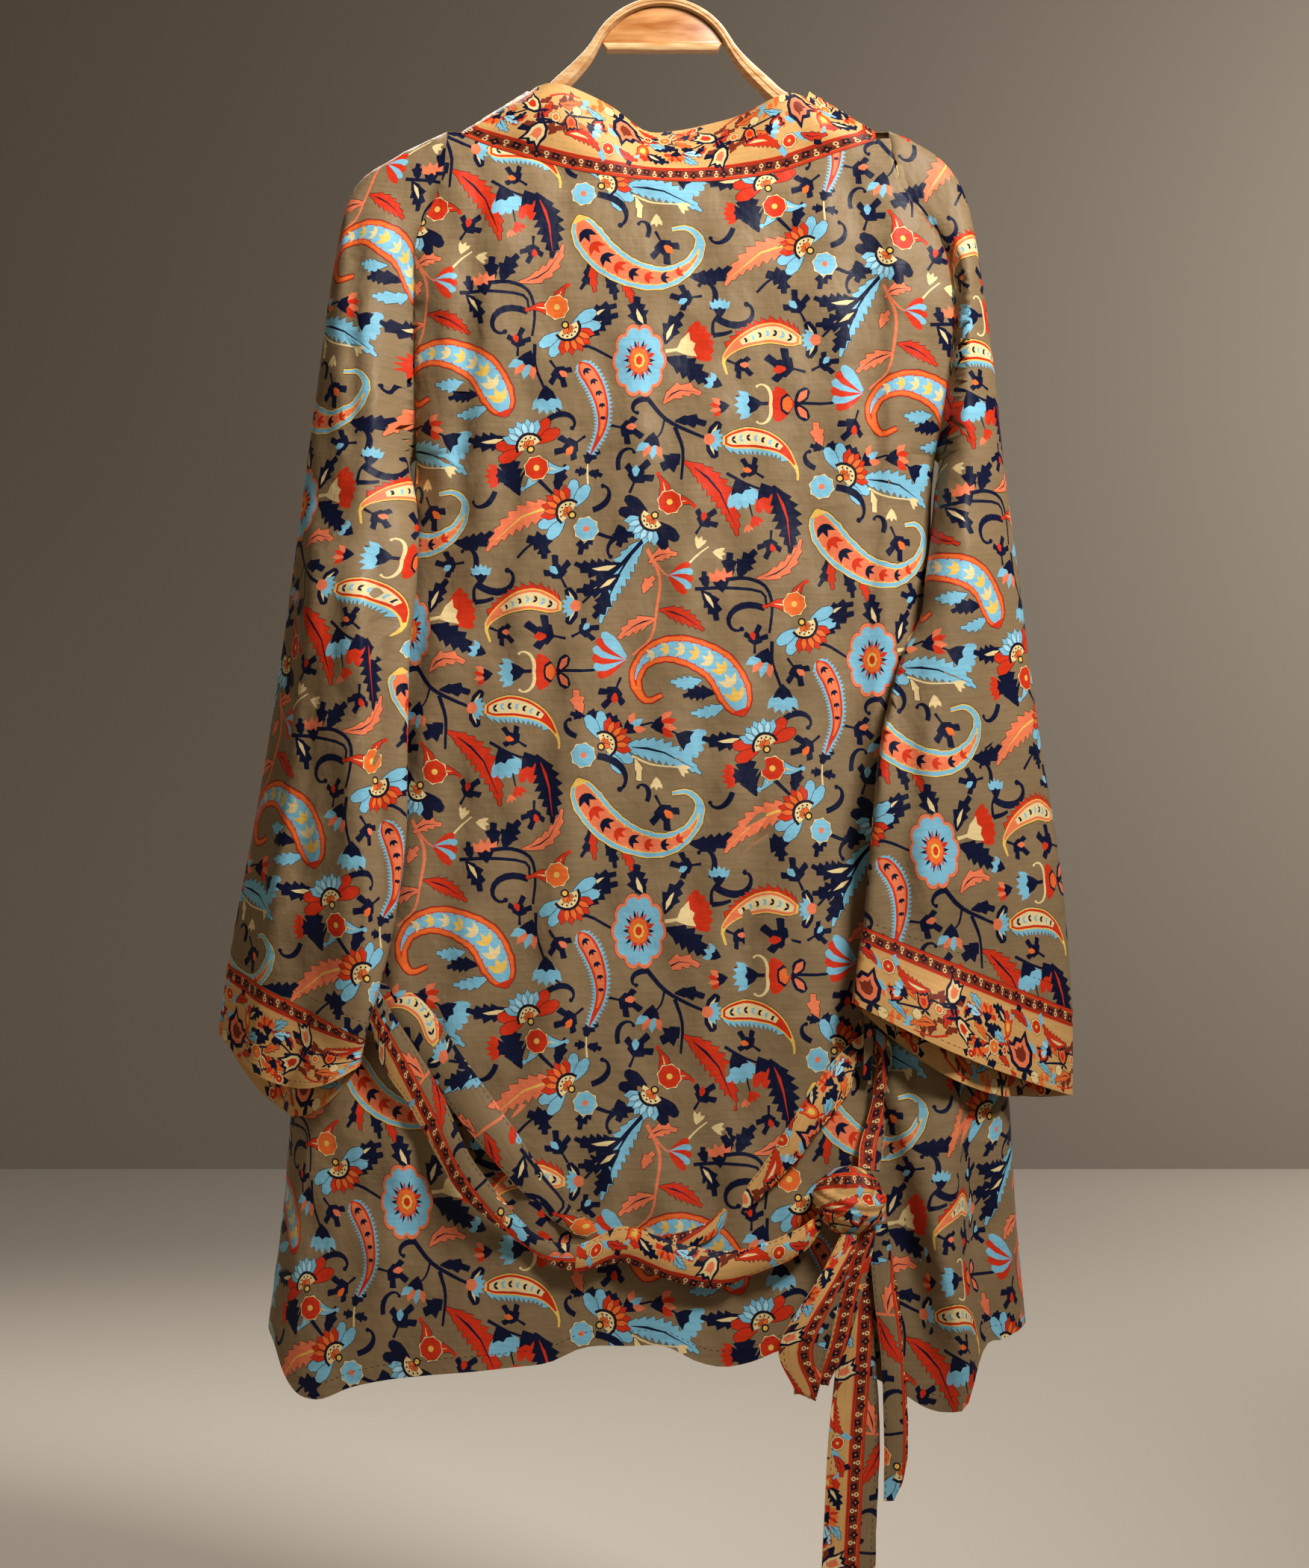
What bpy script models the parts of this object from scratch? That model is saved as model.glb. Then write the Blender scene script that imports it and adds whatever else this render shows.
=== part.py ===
"""Short kimono robe with a tied sash, hanging on a bent-wood hanger.

The robe's front faces -Y, its back +Y, and its wearer's left is +X. The origin is the
point where the hanger's hook rests. Heights are millimetres below that point, so they
are negative, and every table is in millimetres. Each cut piece is a thin wall built on
a grid of points; neighbours share the points of their seam and keep a small gap there.
"""
import math

import bmesh
import bpy
import numpy as np

MM = 0.001
CLOTH = 1.4            # thickness of the robe's cloth wall
BAND_CLOTH = 2.0       # doubled cloth of neckband and cuffs
SASH_CLOTH = 1.8       # doubled cloth of the sash
SEAM_GAP = 0.36        # clear space between two pieces at a seam

# The body of the robe
UNDERARM = -400.0
ROUNDNESS = 0.40       # how squarely a section turns at the side seams
EDGE_SPREAD = -290.0   # below it the armhole's opening shapes less of the body
ARMHOLE_DEPTH = 17.0   # half the armhole's opening, front to back
ARMHOLE_ROWS = 12
SKIRT_ROWS = 15
BACK_COLUMNS = 26
SHOULDER_COLUMNS = 3   # of the back's first row: its short shoulder seam
FRONT_COLUMNS = 9
EVEN_FOOT = -250.0     # above it the columns of a front are evenly spaced

# Neckband, cuffs and sash
BAND_WIDTH = 57.0
BAND_COLUMNS = 3
CUFF_ROWS = 3
SLEEVE_ROWS = 15
SEAM_REACH = 6         # rings over which a sleeve leaves its armhole's shape
PLIES_APART = 14.0     # least distance between a sleeve's near and far wall
RIBBON_COLUMNS = 4


def table(columns, *rows):
    """A table as a dictionary, from column name to an array of its values."""
    return dict(zip(columns.split(), np.array(rows, float).T))


# Half girth of the body at each height: side seam or armhole edge, and depth
SECTIONS = table(
    "height left right back front",
    (-160, 158, -167, 3, 3),
    (-173, 158.5, -168, 10.5, 10),
    (-190, 160, -171, 14, 13),
    (-211, 166, -180, 19, 17),
    (-235, 178, -199, 24, 21),
    (-282, 181, -212, 32, 26),
    (-340, 181, -209, 40, 30),
    (-400, 181, -200, 46, 34),
    (-440, 184, -197, 49, 36),
    (-550, 210, -210, 56, 42),
    (-700, 243, -236, 64, 48),
    (-865, 271, -254, 72, 54),
    (-950, 278, -259, 76, 58),
    (-1045, 290, -267, 80, 62),
    (-1100, 296, -270, 82, 64),
)

# Seam line of the neckband across the back
NECKLINE = table(
    "x height",
    (-161, -166), (-130, -176), (-82, -192), (-35, -199), (13, -198),
    (60, -191), (108, -178), (132, -170), (152, -161),
)

# Front edge of each front panel, where the neckband is sewn on
FRONT_EDGE = table(
    "height left right",
    (-160, 147.5, -156.5),
    (-190, 146, -155),
    (-230, 136, -144),
    (-280, 114, -121),
    (-340, 92, -98),
    (-430, 77, -81),
    (-600, 72, -74),
    (-1060, 76, -78),
)

# Lower edge of the back panel, from the right side seam to the left
BACK_HEM = table(
    "x height",
    (-268, -1035), (-249, -1043), (-233, -1048), (-226, -1062), (-219, -1083),
    (-204, -1091), (-188, -1088), (-171, -1077), (-140, -1060), (-87, -1043),
    (-64, -1052), (-42, -1056), (-25, -1052), (-3, -1041), (25, -1041),
    (59, -1043), (81, -1053), (110, -1057), (166, -1063), (222, -1074),
    (250, -1084), (263, -1080), (275, -1066), (284, -1048), (291, -1038),
)

# Lower edge of the front panels, which hang a little shorter
FRONT_HEM = table(
    "x height",
    (-268, -1035), (-235, -1047), (-190, -1052), (-120, -1046), (-74, -1040),
    (74, -1040), (120, -1045), (200, -1054), (258, -1050), (291, -1038),
)

# Free edge of the neckband behind the neck, for a seam point at seam_x
BAND_BACK = table(
    "seam_x free_x free_y free_z bulge",
    (-161, -106, 0, -138, 0),
    (-130, -101, 8, -135, 7),
    (-106, -92, 12, -134, 5),
    (-82, -80, 10, -138, 5),
    (-59, -59, -2, -147, 5),
    (-35, -35, -14, -152, 5),
    (-11, -10, -20, -156, 5),
    (13, 13, -20, -156, 5),
    (37, 37, -6, -141, 5),
    (60, 59, 8, -132, 5),
    (85, 76, 13, -127, 5),
    (120, 90, 8, -128, 7),
    (152, 98, 0, -132, 0),
)

# Down the fronts the neckband leans from the shoulder's slope to upright
BAND_FRONT = table(
    "height lean free_y",
    (-160, 32, -3),
    (-167, 31, -11),
    (-175, 30, -14),
    (-200, 26, -18),
    (-250, 19, -25),
    (-340, 8, -33),
    (-430, 1, -38),
    (-600, 0, -46),
    (-1060, 0, -65),
)

# Sleeves: the outer line, the inner line, how far each wall bulges and both bow outward
STATIONS = "outer_x outer_y outer_z inner_x inner_y inner_z near far bow"
SLEEVES = {
    "left": table(
        STATIONS,
        (190, 0, -175, 186, 2, -405, 17, 17, 0),
        (226, 2, -202, 188, 5, -413, 19, 18, 0),
        (240, 4, -255, 189, 11, -430, 21, 18, 0),
        (250, 5, -325, 186, 24, -458, 22, 18, 0),
        (259, 6, -395, 183, 41, -498, 23, 18, 0),
        (268, 8, -466, 183, 53, -545, 24, 18, 0),
        (281, 8, -560, 184, 60, -610, 23, 18, 0),
        (297, 6, -657, 185, 64, -680, 22, 18, 0),
        (311, 4, -730, 196, 66, -755, 20, 18, 0),
        (319, 2, -772, 214, 64, -822, 18, 18, 0),
    ),
    "right": table(
        STATIONS,
        (-182, 0, -166, -204, 1, -404, 18, 17, 0),
        (-206, 1, -182, -209, 2, -413, 21, 17, 0),
        (-223, 2, -210, -211, 3, -426, 23, 18, 0),
        (-233, 4, -262, -212, 6, -441, 24, 18, 1),
        (-243, 5, -335, -211, 11, -464, 24, 18, 3),
        (-250, 6, -405, -203, 22, -490, 23, 17, 2),
        (-257, 8, -460, -188, 38, -518, 22, 16, 1),
        (-266, 9, -530, -172, 52, -552, 20, 15, 0),
        (-277, 8, -610, -157, 65, -610, 20, 15, 0),
        (-287, 7, -670, -150, 72, -675, 20, 16, 0),
        (-295, 6, -730, -146, 76, -720, 19, 17, 0),
        (-301, 4, -806, -144, 77, -742, 17, 17, 0),
    ),
}

# Where a sleeve lies over the back: its distance behind it, and how far outside the
# side seam it starts to turn behind
FORWARD = 32.0
CLEARANCE = table(
    "height behind outside",
    (-400, 5, 8),
    (-450, 7, 10),
    (-600, 13, 18),
    (-740, 19.5, 24),
    (-1100, 19.5, 24),
)

# Lower edge of each cuff: its outer and inner end, and how far each wall drops between
CUFF_EDGES = table(
    "outer_x outer_y outer_z inner_x inner_y inner_z near_drop far_drop",
    (326, 0, -822, 218, 60, -842, 26, 48),
    (-301, 2, -869, -136, 79, -796, 4, 24),
)

# Folds: a line through three points (x, height), its height and its two flanks
FOLD_COLUMNS = "x0 z0 x1 z1 x2 z2 height left_flank right_flank"
BODY_FOLDS = table(
    FOLD_COLUMNS,
    (-171, -215, -168, -360, -154, -640, 9, 8, 30),
    (-208, -800, -213, -940, -222, -1090, 11, 26, 7),
    (-166, -840, -188, -930, -216, -1060, 9, 12, 18),
    (10, -880, -6, -960, -10, -1050, 6, 30, 22),
    (120, -880, 128, -980, 150, -1075, 7, 30, 30),
    (-95, -640, -92, -800, -80, -1050, 6, 26, 26),
    (232, -870, 246, -960, 262, -1075, 6, 20, 26),
)
SLEEVE_FOLDS = {
    "left": table(
        FOLD_COLUMNS,
        (252, -470, 268, -620, 292, -790, 12, 7, 30),
        (214, -500, 213, -600, 212, -800, 9, 30, 6),
        (196, -230, 190, -340, 186, -460, 6, 22, 12),
    ),
    "right": table(
        FOLD_COLUMNS,
        (-212, -450, -204, -560, -190, -700, 6, 12, 30),
        (-170, -400, -160, -520, -154, -640, 5, 14, 10),
        (-240, -480, -248, -620, -262, -780, 5, 26, 26),
    ),
}

# Sash: both edges of each stretch as seen from behind, and its distance from the robe
EDGES = "x_a z_a x_b z_b out bulge"
SASH = {
    "sash_swag": table(
        EDGES,
        (219, -776, 219, -796, 10.2, 0),
        (221.1, -776, 221.1, -796, 9.3, 0),
        (222, -776, 222, -796, 7.2, 0),
        (221.1, -776, 221.1, -796, 5.1, 0),
        (219, -776, 219, -796, 4.2, 0),
        (214, -778, 215, -798, 4.2, 0),
        (196, -786, 199, -803, 4.6, 1),
        (172, -796, 188, -819, 5, 2),
        (143, -835, 162, -858, 6, 2),
        (112, -879, 130, -897, 6, 2),
        (78, -928, 92, -940, 6, 1),
        (47, -954, 56, -964, 5, 1),
        (4, -961, 4, -975, 4, 1),
        (-25, -956, -23, -969, 4, 1),
        (-43, -944, -46, -956, 4, 1),
        (-62, -926, -68, -938, 5, 1),
        (-79, -902, -92, -911, 6, 1.5),
        (-96, -872, -111, -886, 7, 2),
        (-115, -845, -133, -860, 7, 1.5),
        (-134, -826, -138, -842, 5.6, 0),
        (-151, -816, -151, -836, 5.6, 0),
    ),
    "sash_wrap": table(
        EDGES,
        (218.4, -776, 218.4, -796, 10.2, 0),
        (206, -783, 209, -806, 10.2, 0),
        (192, -805, 199, -842, 10, 2),
        (163, -850, 177, -875, 11, 2),
        (130, -912, 142, -930, 12, 2),
        (95, -958, 99, -969, 12, 1),
        (60, -968, 62, -987, 12, 2),
        (25, -955, 27, -980, 12, 3),
        (-14, -968, -8, -993, 12, 3),
        (-42, -973, -38, -999, 13, 3),
        (-69, -969, -70, -987, 14, 3),
        (-92, -957, -94, -974, 16, 2),
        (-105.9, -946, -106.9, -958, 18, 0.5),
    ),
    "sash_drop": table(
        EDGES,
        (-152.3, -836, -152.3, -816, 5.6, 0),
        (-155, -845, -163, -829, 6, 0.5),
        (-151, -862, -163, -857, 9, 2),
        (-143, -886, -160, -883, 12, 2),
        (-138, -900, -155, -900, 16, 1),
        (-136, -913.6, -151, -917.5, 20, 0),
    ),
    "sash_tail_long": table(
        EDGES,
        (-127, -958.9, -143, -958.9, 13, 0),
        (-128, -1000, -147, -1000, 7, 1),
        (-122, -1062, -152, -1060, 6, 1),
        (-117, -1110, -154, -1110, 6, 2),
        (-114, -1165, -152, -1165, 6, 2),
        (-112, -1205, -151, -1205, 6, 2),
        (-111, -1240, -150, -1240, 6, 2),
    ),
    "sash_tail_short": table(
        EDGES,
        (-147, -953.2, -158, -953.2, 14, 0),
        (-147, -980, -163, -986, 12, 1),
        (-149, -1006, -167, -1012, 12, 2),
        (-154, -1050, -170, -1050, 12, 2),
        (-156, -1100, -173, -1100, 12, 2),
        (-156, -1130, -171, -1132, 12, 1),
        (-156, -1152, -163, -1152, 12, 0),
    ),
}

# Bow loops: the edges of the near ply; the far ply returns behind it
BOWS = {
    "sash_bow_1": table(
        EDGES,
        (-121, -960.6, -133, -961, 27, 1),
        (-108, -982, -130, -975, 29, 3),
        (-91, -1010, -120, -1003, 30, 4),
        (-80, -1040, -108, -1040, 29, 3),
        (-88, -1068, -101, -1074, 26, 1),
    ),
    "sash_bow_2": table(
        EDGES,
        (-135, -961, -148, -958, 21, 1),
        (-128, -985, -145, -978, 20, 2),
        (-121, -1010, -138, -1005, 19, 2),
        (-114, -1040, -128, -1038, 18, 2),
        (-104, -1062, -114, -1066, 17, 1),
    ),
}
BOW_PLY_GAP = 5.0

# The knot: a soft lump, wrapped once around its middle
KNOT_CENTRE = (-133.0, -936.5)
KNOT_HALF = (22.5, 15.0, 23.5)
KNOT_OUT = 21.0
KNOT_STEPS = (16, 12)

# Belt loops: a narrow strip that hangs from the body round the sash
LOOP_WIDTH = 7.0
LOOP_CLOTH = 1.4
LOOPS = table("x top bottom near far", (213, -752, -812, 11.8, 1.0), (-146, -783, -852, 9.2, 1.8))

# Hanger: the rail's middle line from the arch to one end, with the width of its face
ARCH_CENTRE = -119.0
ARCH_RADIUS = 54.0
ARCH_SPAN = math.radians(60)
RAIL = table(
    "x height face depth",
    (51.5, -100, 7.5, 16),
    (60, -111, 10, 15),
    (74, -125, 12, 14),
    (84, -134, 12, 13),
    (95, -140.8, 12, 12),
    (112, -153.2, 11, 10),
    (135, -166, 9, 8),
    (160, -176, 8, 7),
    (185, -185, 8, 7),
    (201, -194, 8, 6),
)
ARCH_FACE = 6.5
ARCH_DEPTH = 16.0
PANEL_DEPTH = 9.0
PANEL_FOOT = -95.0
BAR_HEIGHT = 6.0
HOOK_WIRE = 4.0
HOOK = table(
    "x height",
    (0, -61.4), (0, -52), (4, -43), (14, -33), (19, -20), (15, -6), (4, 1.6),
    (-8, 0.2), (-16, -7), (-19, -17),
)
HOOK_STEPS = 40

COLOURS = {
    "silk": ((0.23, 0.18, 0.10), 0.38),
    "border": ((0.72, 0.48, 0.24), 0.42),
    "sash": ((0.50, 0.28, 0.16), 0.42),
    "pale_wood": ((0.78, 0.55, 0.30), 0.45),
    "veneer": ((0.58, 0.29, 0.11), 0.40),
    "metal": ((0.62, 0.60, 0.55), 0.25),
}


def smooth(xs, ys, x):
    """Value at x of the smooth curve through the points (xs, ys)."""
    xs, ys, x = np.asarray(xs, float), np.asarray(ys, float), np.asarray(x, float)
    if xs[0] > xs[-1]:
        xs, ys = xs[::-1], ys[::-1]
    slopes = np.gradient(ys, xs)
    x = np.clip(x, xs[0], xs[-1])
    i = np.clip(np.searchsorted(xs, x) - 1, 0, len(xs) - 2)
    step = xs[i + 1] - xs[i]
    t = (x - xs[i]) / step
    rise = t * t * (3 - 2 * t)
    return (ys[i] + rise * (ys[i + 1] - ys[i])
            + step * (t * (1 - t) ** 2 * slopes[i] - t * t * (1 - t) * slopes[i + 1]))


def column(rows, name, height):
    """One column of a table at a height."""
    return smooth(rows["height"], rows[name], height)


def along(rows, names, count):
    """The named columns at evenly spaced places down a table, for a smooth loft."""
    places = np.arange(len(rows[names[0]]), dtype=float)
    wanted = np.linspace(0, places[-1], count)
    return [smooth(places, rows[name], wanted) for name in names]


def taper(z, top, bottom, run=55.0):
    """1 between two heights, falling smoothly to 0 at both ends."""
    t = np.clip(np.minimum(top - z, z - bottom) / run, 0, 1)
    return t * t * (3 - 2 * t)


def fold_lift(folds, x, z):
    """How far the folds of a table lift a wall at (x, z)."""
    lift = np.zeros(np.broadcast(x, z).shape)
    for k in range(len(folds["x0"])):
        f = {name: values[k] for name, values in folds.items()}
        heights, places = [f["z0"], f["z1"], f["z2"]], [f["x0"], f["x1"], f["x2"]]
        off = x - smooth(heights, places, z)
        flank = np.where(off > 0, f["left_flank"], f["right_flank"])
        bell = np.exp(-((off / flank) ** 2))
        lift += f["height"] * bell * taper(z, f["z0"] + 30, f["z2"] - 60)
    return lift


def armhole_half(z):
    """Half the armhole's opening, front to back, at a height."""
    top = SECTIONS["height"][0]
    f = np.clip((top - z) / (top - UNDERARM), 0, 1)
    return ARMHOLE_DEPTH * (1 - np.abs(2 * f - 1) ** 3) ** 0.45


def section(z):
    """Centre and half-width of the body at a height."""
    left, right = column(SECTIONS, "left", z), column(SECTIONS, "right", z)
    return (left + right) / 2, (left - right) / 2


def body_depth(x, z, side, grow=0.0):
    """Y of the body's middle surface: side is 'back' or 'front'; grow inflates it."""
    centre, half = section(z)
    t = np.clip((x - centre) / (half + grow), -1, 1)
    edge = armhole_half(z)
    depth = column(SECTIONS, side, z)
    round_in = (1 - t * t) ** ROUNDNESS
    spread = 1 + 1.4 * np.clip((EDGE_SPREAD - z) / 80, 0, 1)
    y = depth * round_in + edge * (1 - round_in) ** spread
    if side == "front":
        return -y
    return y + fold_lift(BODY_FOLDS, x, z) * (1 - t ** 8)


def row_heights(top, hem):
    """Heights of a panel's rows: closest at both ends of the armhole, even below it."""
    f = (1 - np.cos(np.arange(ARMHOLE_ROWS + 1) / ARMHOLE_ROWS * math.pi)) / 2
    upper = top + (UNDERARM - top) * f[:, None]
    g = np.arange(1, SKIRT_ROWS + 1) / SKIRT_ROWS
    lower = UNDERARM + (hem - UNDERARM) * g[:, None]
    return np.vstack([upper, lower])


def back_panel_grid():
    """Points of the back: rows from neckline to hem, columns from left to right."""
    angle = np.linspace(0, math.pi, BACK_COLUMNS + 1)
    centre, half = section(SECTIONS["height"][0])
    top = smooth(NECKLINE["x"], NECKLINE["height"], centre + half * np.cos(angle))
    top[0] = top[-1] = SECTIONS["height"][0]
    centre, half = section(-1060.0)
    hem = smooth(BACK_HEM["x"], BACK_HEM["height"], centre + half * np.cos(angle))
    z = row_heights(top[None, :], hem[None, :])
    centre, half = section(z)
    x = centre + half * np.cos(angle)
    return np.dstack([x, body_depth(x, z, "back"), z])


def front_panel_grid(side):
    """Points of one front: rows from shoulder to hem, columns from side to front edge."""
    share = np.linspace(0, 1, FRONT_COLUMNS + 1)
    sign = 1 if side == "left" else -1
    top = np.full(len(share), SECTIONS["height"][0])
    edge = sign * column(FRONT_EDGE, side, -1045.0)
    reach = sign * column(SECTIONS, side, -1045.0)
    hem = smooth(FRONT_HEM["x"], FRONT_HEM["height"], sign * (reach + (edge - reach) * share))
    z = row_heights(top[None, :], hem[None, :])
    centre, half = section(z)
    last = np.arccos(np.clip(sign * (column(FRONT_EDGE, side, z) - centre) / half, -1, 1))
    x = centre + sign * half * np.cos(last * share)
    even = centre + sign * half * (1 + (np.cos(last) - 1) * share)
    x += (even - x) * taper(z, 0, EVEN_FOOT)
    return np.dstack([x, body_depth(x, z, "front"), z])


def neckband_grid(back, left, right):
    """Points of the neckband: stations along its seam, columns from seam to free edge."""
    across = np.linspace(0, 1, BAND_COLUMNS + 1)[None, :, None]

    def front_part(seam, sign):
        z = seam[:, 2]
        lean = np.radians(column(BAND_FRONT, "lean", z))
        free_x = seam[:, 0] - sign * BAND_WIDTH * np.cos(lean)
        free = np.column_stack([free_x, column(BAND_FRONT, "free_y", z),
                                z + BAND_WIDTH * np.sin(lean)])
        return seam[:, None] + (free - seam)[:, None] * across

    seam = back[0, SHOULDER_COLUMNS:-SHOULDER_COLUMNS]
    free = np.column_stack([smooth(BAND_BACK["seam_x"], BAND_BACK[name], seam[:, 0])
                            for name in ("free_x", "free_y", "free_z")])
    bulge = smooth(BAND_BACK["seam_x"], BAND_BACK["bulge"], seam[:, 0])
    behind = seam[:, None] + (free - seam)[:, None] * across
    behind[:, :, 1] += bulge[:, None] * np.sin(math.pi * across[0, :, 0])
    down_left = front_part(left[:, -1], 1)[::-1]
    down_right = front_part(right[:, -1], -1)
    return np.vstack([down_left, behind, down_right])


def armhole_ring(side, back, front):
    """Seam points of an armhole, from the shoulder down the back and up the front."""
    rows = ARMHOLE_ROWS + 1
    down = back[:rows, 0 if side == "left" else -1]
    up = front[:rows, 0][::-1]
    return np.vstack([down, up[1:-1]])


def ring(outer, inner, near, far, count):
    """A closed section between two points, bulging near (+Y) and far (-Y)."""
    angle = np.arange(count) / count * 2 * math.pi
    middle, arm = (outer + inner) / 2, (outer - inner) / 2
    width = np.cos(angle)
    bulge = np.sin(angle)
    thick = np.where(bulge > 0, near, far) * np.sign(bulge) * np.abs(bulge) ** 0.8
    points = middle + np.outer(width, arm)
    points[:, 1] += thick
    return points


def sleeve_grid(side, seam):
    """Points of a sleeve: rings from the armhole to the cuff seam."""
    rows = SLEEVES[side]
    names = STATIONS.split()
    count = len(seam)
    values = np.array(along(rows, names, SLEEVE_ROWS)).T
    top, bottom = seam[0], seam[ARMHOLE_ROWS]
    armhole_shape = seam - ring(top, bottom, ARMHOLE_DEPTH, ARMHOLE_DEPTH, count)
    rings = [seam]
    sideways = np.sin(np.arange(count) / count * 2 * math.pi) ** 2
    for outer_x, outer_y, outer_z, inner_x, inner_y, inner_z, near, far, bow in values:
        points = ring(np.array([outer_x, outer_y, outer_z]),
                      np.array([inner_x, inner_y, inner_z]), near, far, count)
        points[:, 0] += (bow if side == "left" else -bow) * sideways
        points += armhole_shape * max(1 - len(rings) / SEAM_REACH, 0) ** 1.5
        rings.append(fold_sleeve(side, clear_of_body(points)))
    return np.array(rings)


def clear_of_body(points):
    """Moves a sleeve's ring off the body's back, near wall off far wall."""
    x, y, z = points.T
    centre, reach = section(z)
    outside = column(CLEARANCE, "outside", z)
    share = np.clip((reach + outside - np.abs(x - centre)) / outside, 0, 1)
    share *= np.clip((UNDERARM - 10 - z) / 50, 0, 1)
    behind = body_depth(x, z, "back") + column(CLEARANCE, "behind", z)
    limit = -FORWARD + (behind + FORWARD) * share * share * (3 - 2 * share)
    lifted = np.maximum(y, limit)
    across_from = lifted[-np.arange(len(points)) % len(points)]
    near = near_wall(len(points))
    lifted = np.where(near > 0, np.maximum(lifted, across_from + PLIES_APART * near), lifted)
    return np.column_stack([x, lifted, z])


def near_wall(count):
    """0 to 1 across a ring's near wall and 0 on its far wall."""
    bulge = np.sin(np.arange(count) / count * 2 * math.pi)
    return np.sqrt(np.clip(bulge, 0, 1))


def fold_sleeve(side, points):
    """Lifts a ring's near wall by the sleeve's folds."""
    lift = near_wall(len(points)) * fold_lift(SLEEVE_FOLDS[side], points[:, 0], points[:, 2])
    return points + lift[:, None] * (0, 1, 0)


def cuff_grid(row, seam):
    """Points of a cuff: from the sleeve's last ring to its own lower edge."""
    edge = {name: values[row] for name, values in CUFF_EDGES.items()}
    outer = np.array([edge["outer_x"], edge["outer_y"], edge["outer_z"]])
    inner = np.array([edge["inner_x"], edge["inner_y"], edge["inner_z"]])
    count = len(seam)
    angle = np.arange(count) / count * 2 * math.pi
    bulge = np.sin(angle)
    line = (seam[0] + seam[count // 2]) / 2
    relief = seam - line - np.outer(np.cos(angle), (seam[0] - seam[count // 2]) / 2)
    end = (outer + inner) / 2 + np.outer(np.cos(angle), (outer - inner) / 2) + relief
    end[:, 2] -= np.where(bulge > 0, edge["near_drop"], edge["far_drop"]) * bulge ** 2
    rings = [seam]
    for share in np.arange(1, CUFF_ROWS + 1) / CUFF_ROWS:
        rings.append(clear_of_body(seam + (end - seam) * share))
    return np.array(rings)


def grid_normals(grid, closed):
    """Unit normals of a grid of points, closed round its columns or open."""
    if closed:
        wrapped = np.concatenate([grid[:, -1:], grid, grid[:, :1]], axis=1)
        across = (wrapped[:, 2:] - wrapped[:, :-2]) / 2
    else:
        across = np.gradient(grid, axis=1)
    down = np.gradient(grid, axis=0)
    normals = np.cross(across, down)
    return normals / np.linalg.norm(normals, axis=2, keepdims=True)


def share_normals(*edges):
    """Gives the edges that meet at a seam one set of normals."""
    mean = sum(edges)
    mean = mean / np.linalg.norm(mean, axis=-1, keepdims=True)
    for edge in edges:
        edge[:] = mean


def share_seams(normals):
    """Shared normals at every seam of the robe."""
    rows, length = ARMHOLE_ROWS + 1, ARMHOLE_ROWS + SKIRT_ROWS + 1
    back, band = normals["back_panel"], normals["neckband"]
    band_parts = {"left": band[length - 1::-1, 0], "right": band[-length:, 0]}
    for side, edge in (("left", 0), ("right", -1)):
        sleeve, front = normals["sleeve_" + side], normals["front_" + side]
        share_normals(back[rows:, edge], front[rows:, 0])
        share_normals(back[:rows, edge], sleeve[0, :rows])
        share_normals(sleeve[0, :rows - 1:-1], front[1:rows - 1, 0])
        share_normals(back[rows - 1, edge], front[rows - 1, 0], sleeve[0, rows - 1])
        share_normals(back[0, edge], front[0, 0], sleeve[0, 0])
        share_normals(sleeve[-1], normals["cuff_" + side][0])
        share_normals(front[:, -1], band_parts[side])
    share_normals(back[0, SHOULDER_COLUMNS:-SHOULDER_COLUMNS], band[length:-length, 0])


def pull_back(edge, neighbour, gap=SEAM_GAP / 2):
    """Moves a seam's points into their own piece by half the seam's gap."""
    inward = neighbour - edge
    return edge + inward / np.linalg.norm(inward, axis=-1, keepdims=True) * gap


def collection(name):
    """The named collection, linked to the scene."""
    found = bpy.data.collections.get(name)
    if found is None:
        found = bpy.data.collections.new(name)
        bpy.context.scene.collection.children.link(found)
    return found


def material(name):
    """A plain shader of the named colour."""
    found = bpy.data.materials.get(name)
    if found is None:
        colour, roughness = COLOURS[name]
        found = bpy.data.materials.new(name)
        found.use_nodes = True
        shader = found.node_tree.nodes["Principled BSDF"]
        shader.inputs["Base Color"].default_value = (*colour, 1)
        shader.inputs["Roughness"].default_value = roughness
        shader.inputs["Metallic"].default_value = 1.0 if name == "metal" else 0.0
    return found


def add_object(name, mesh, finish):
    """Links a mesh as an object of the robe with one material."""
    mesh.materials.append(material(finish))
    item = bpy.data.objects.new(name, mesh)
    collection("kimono_robe").objects.link(item)
    return item


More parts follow.
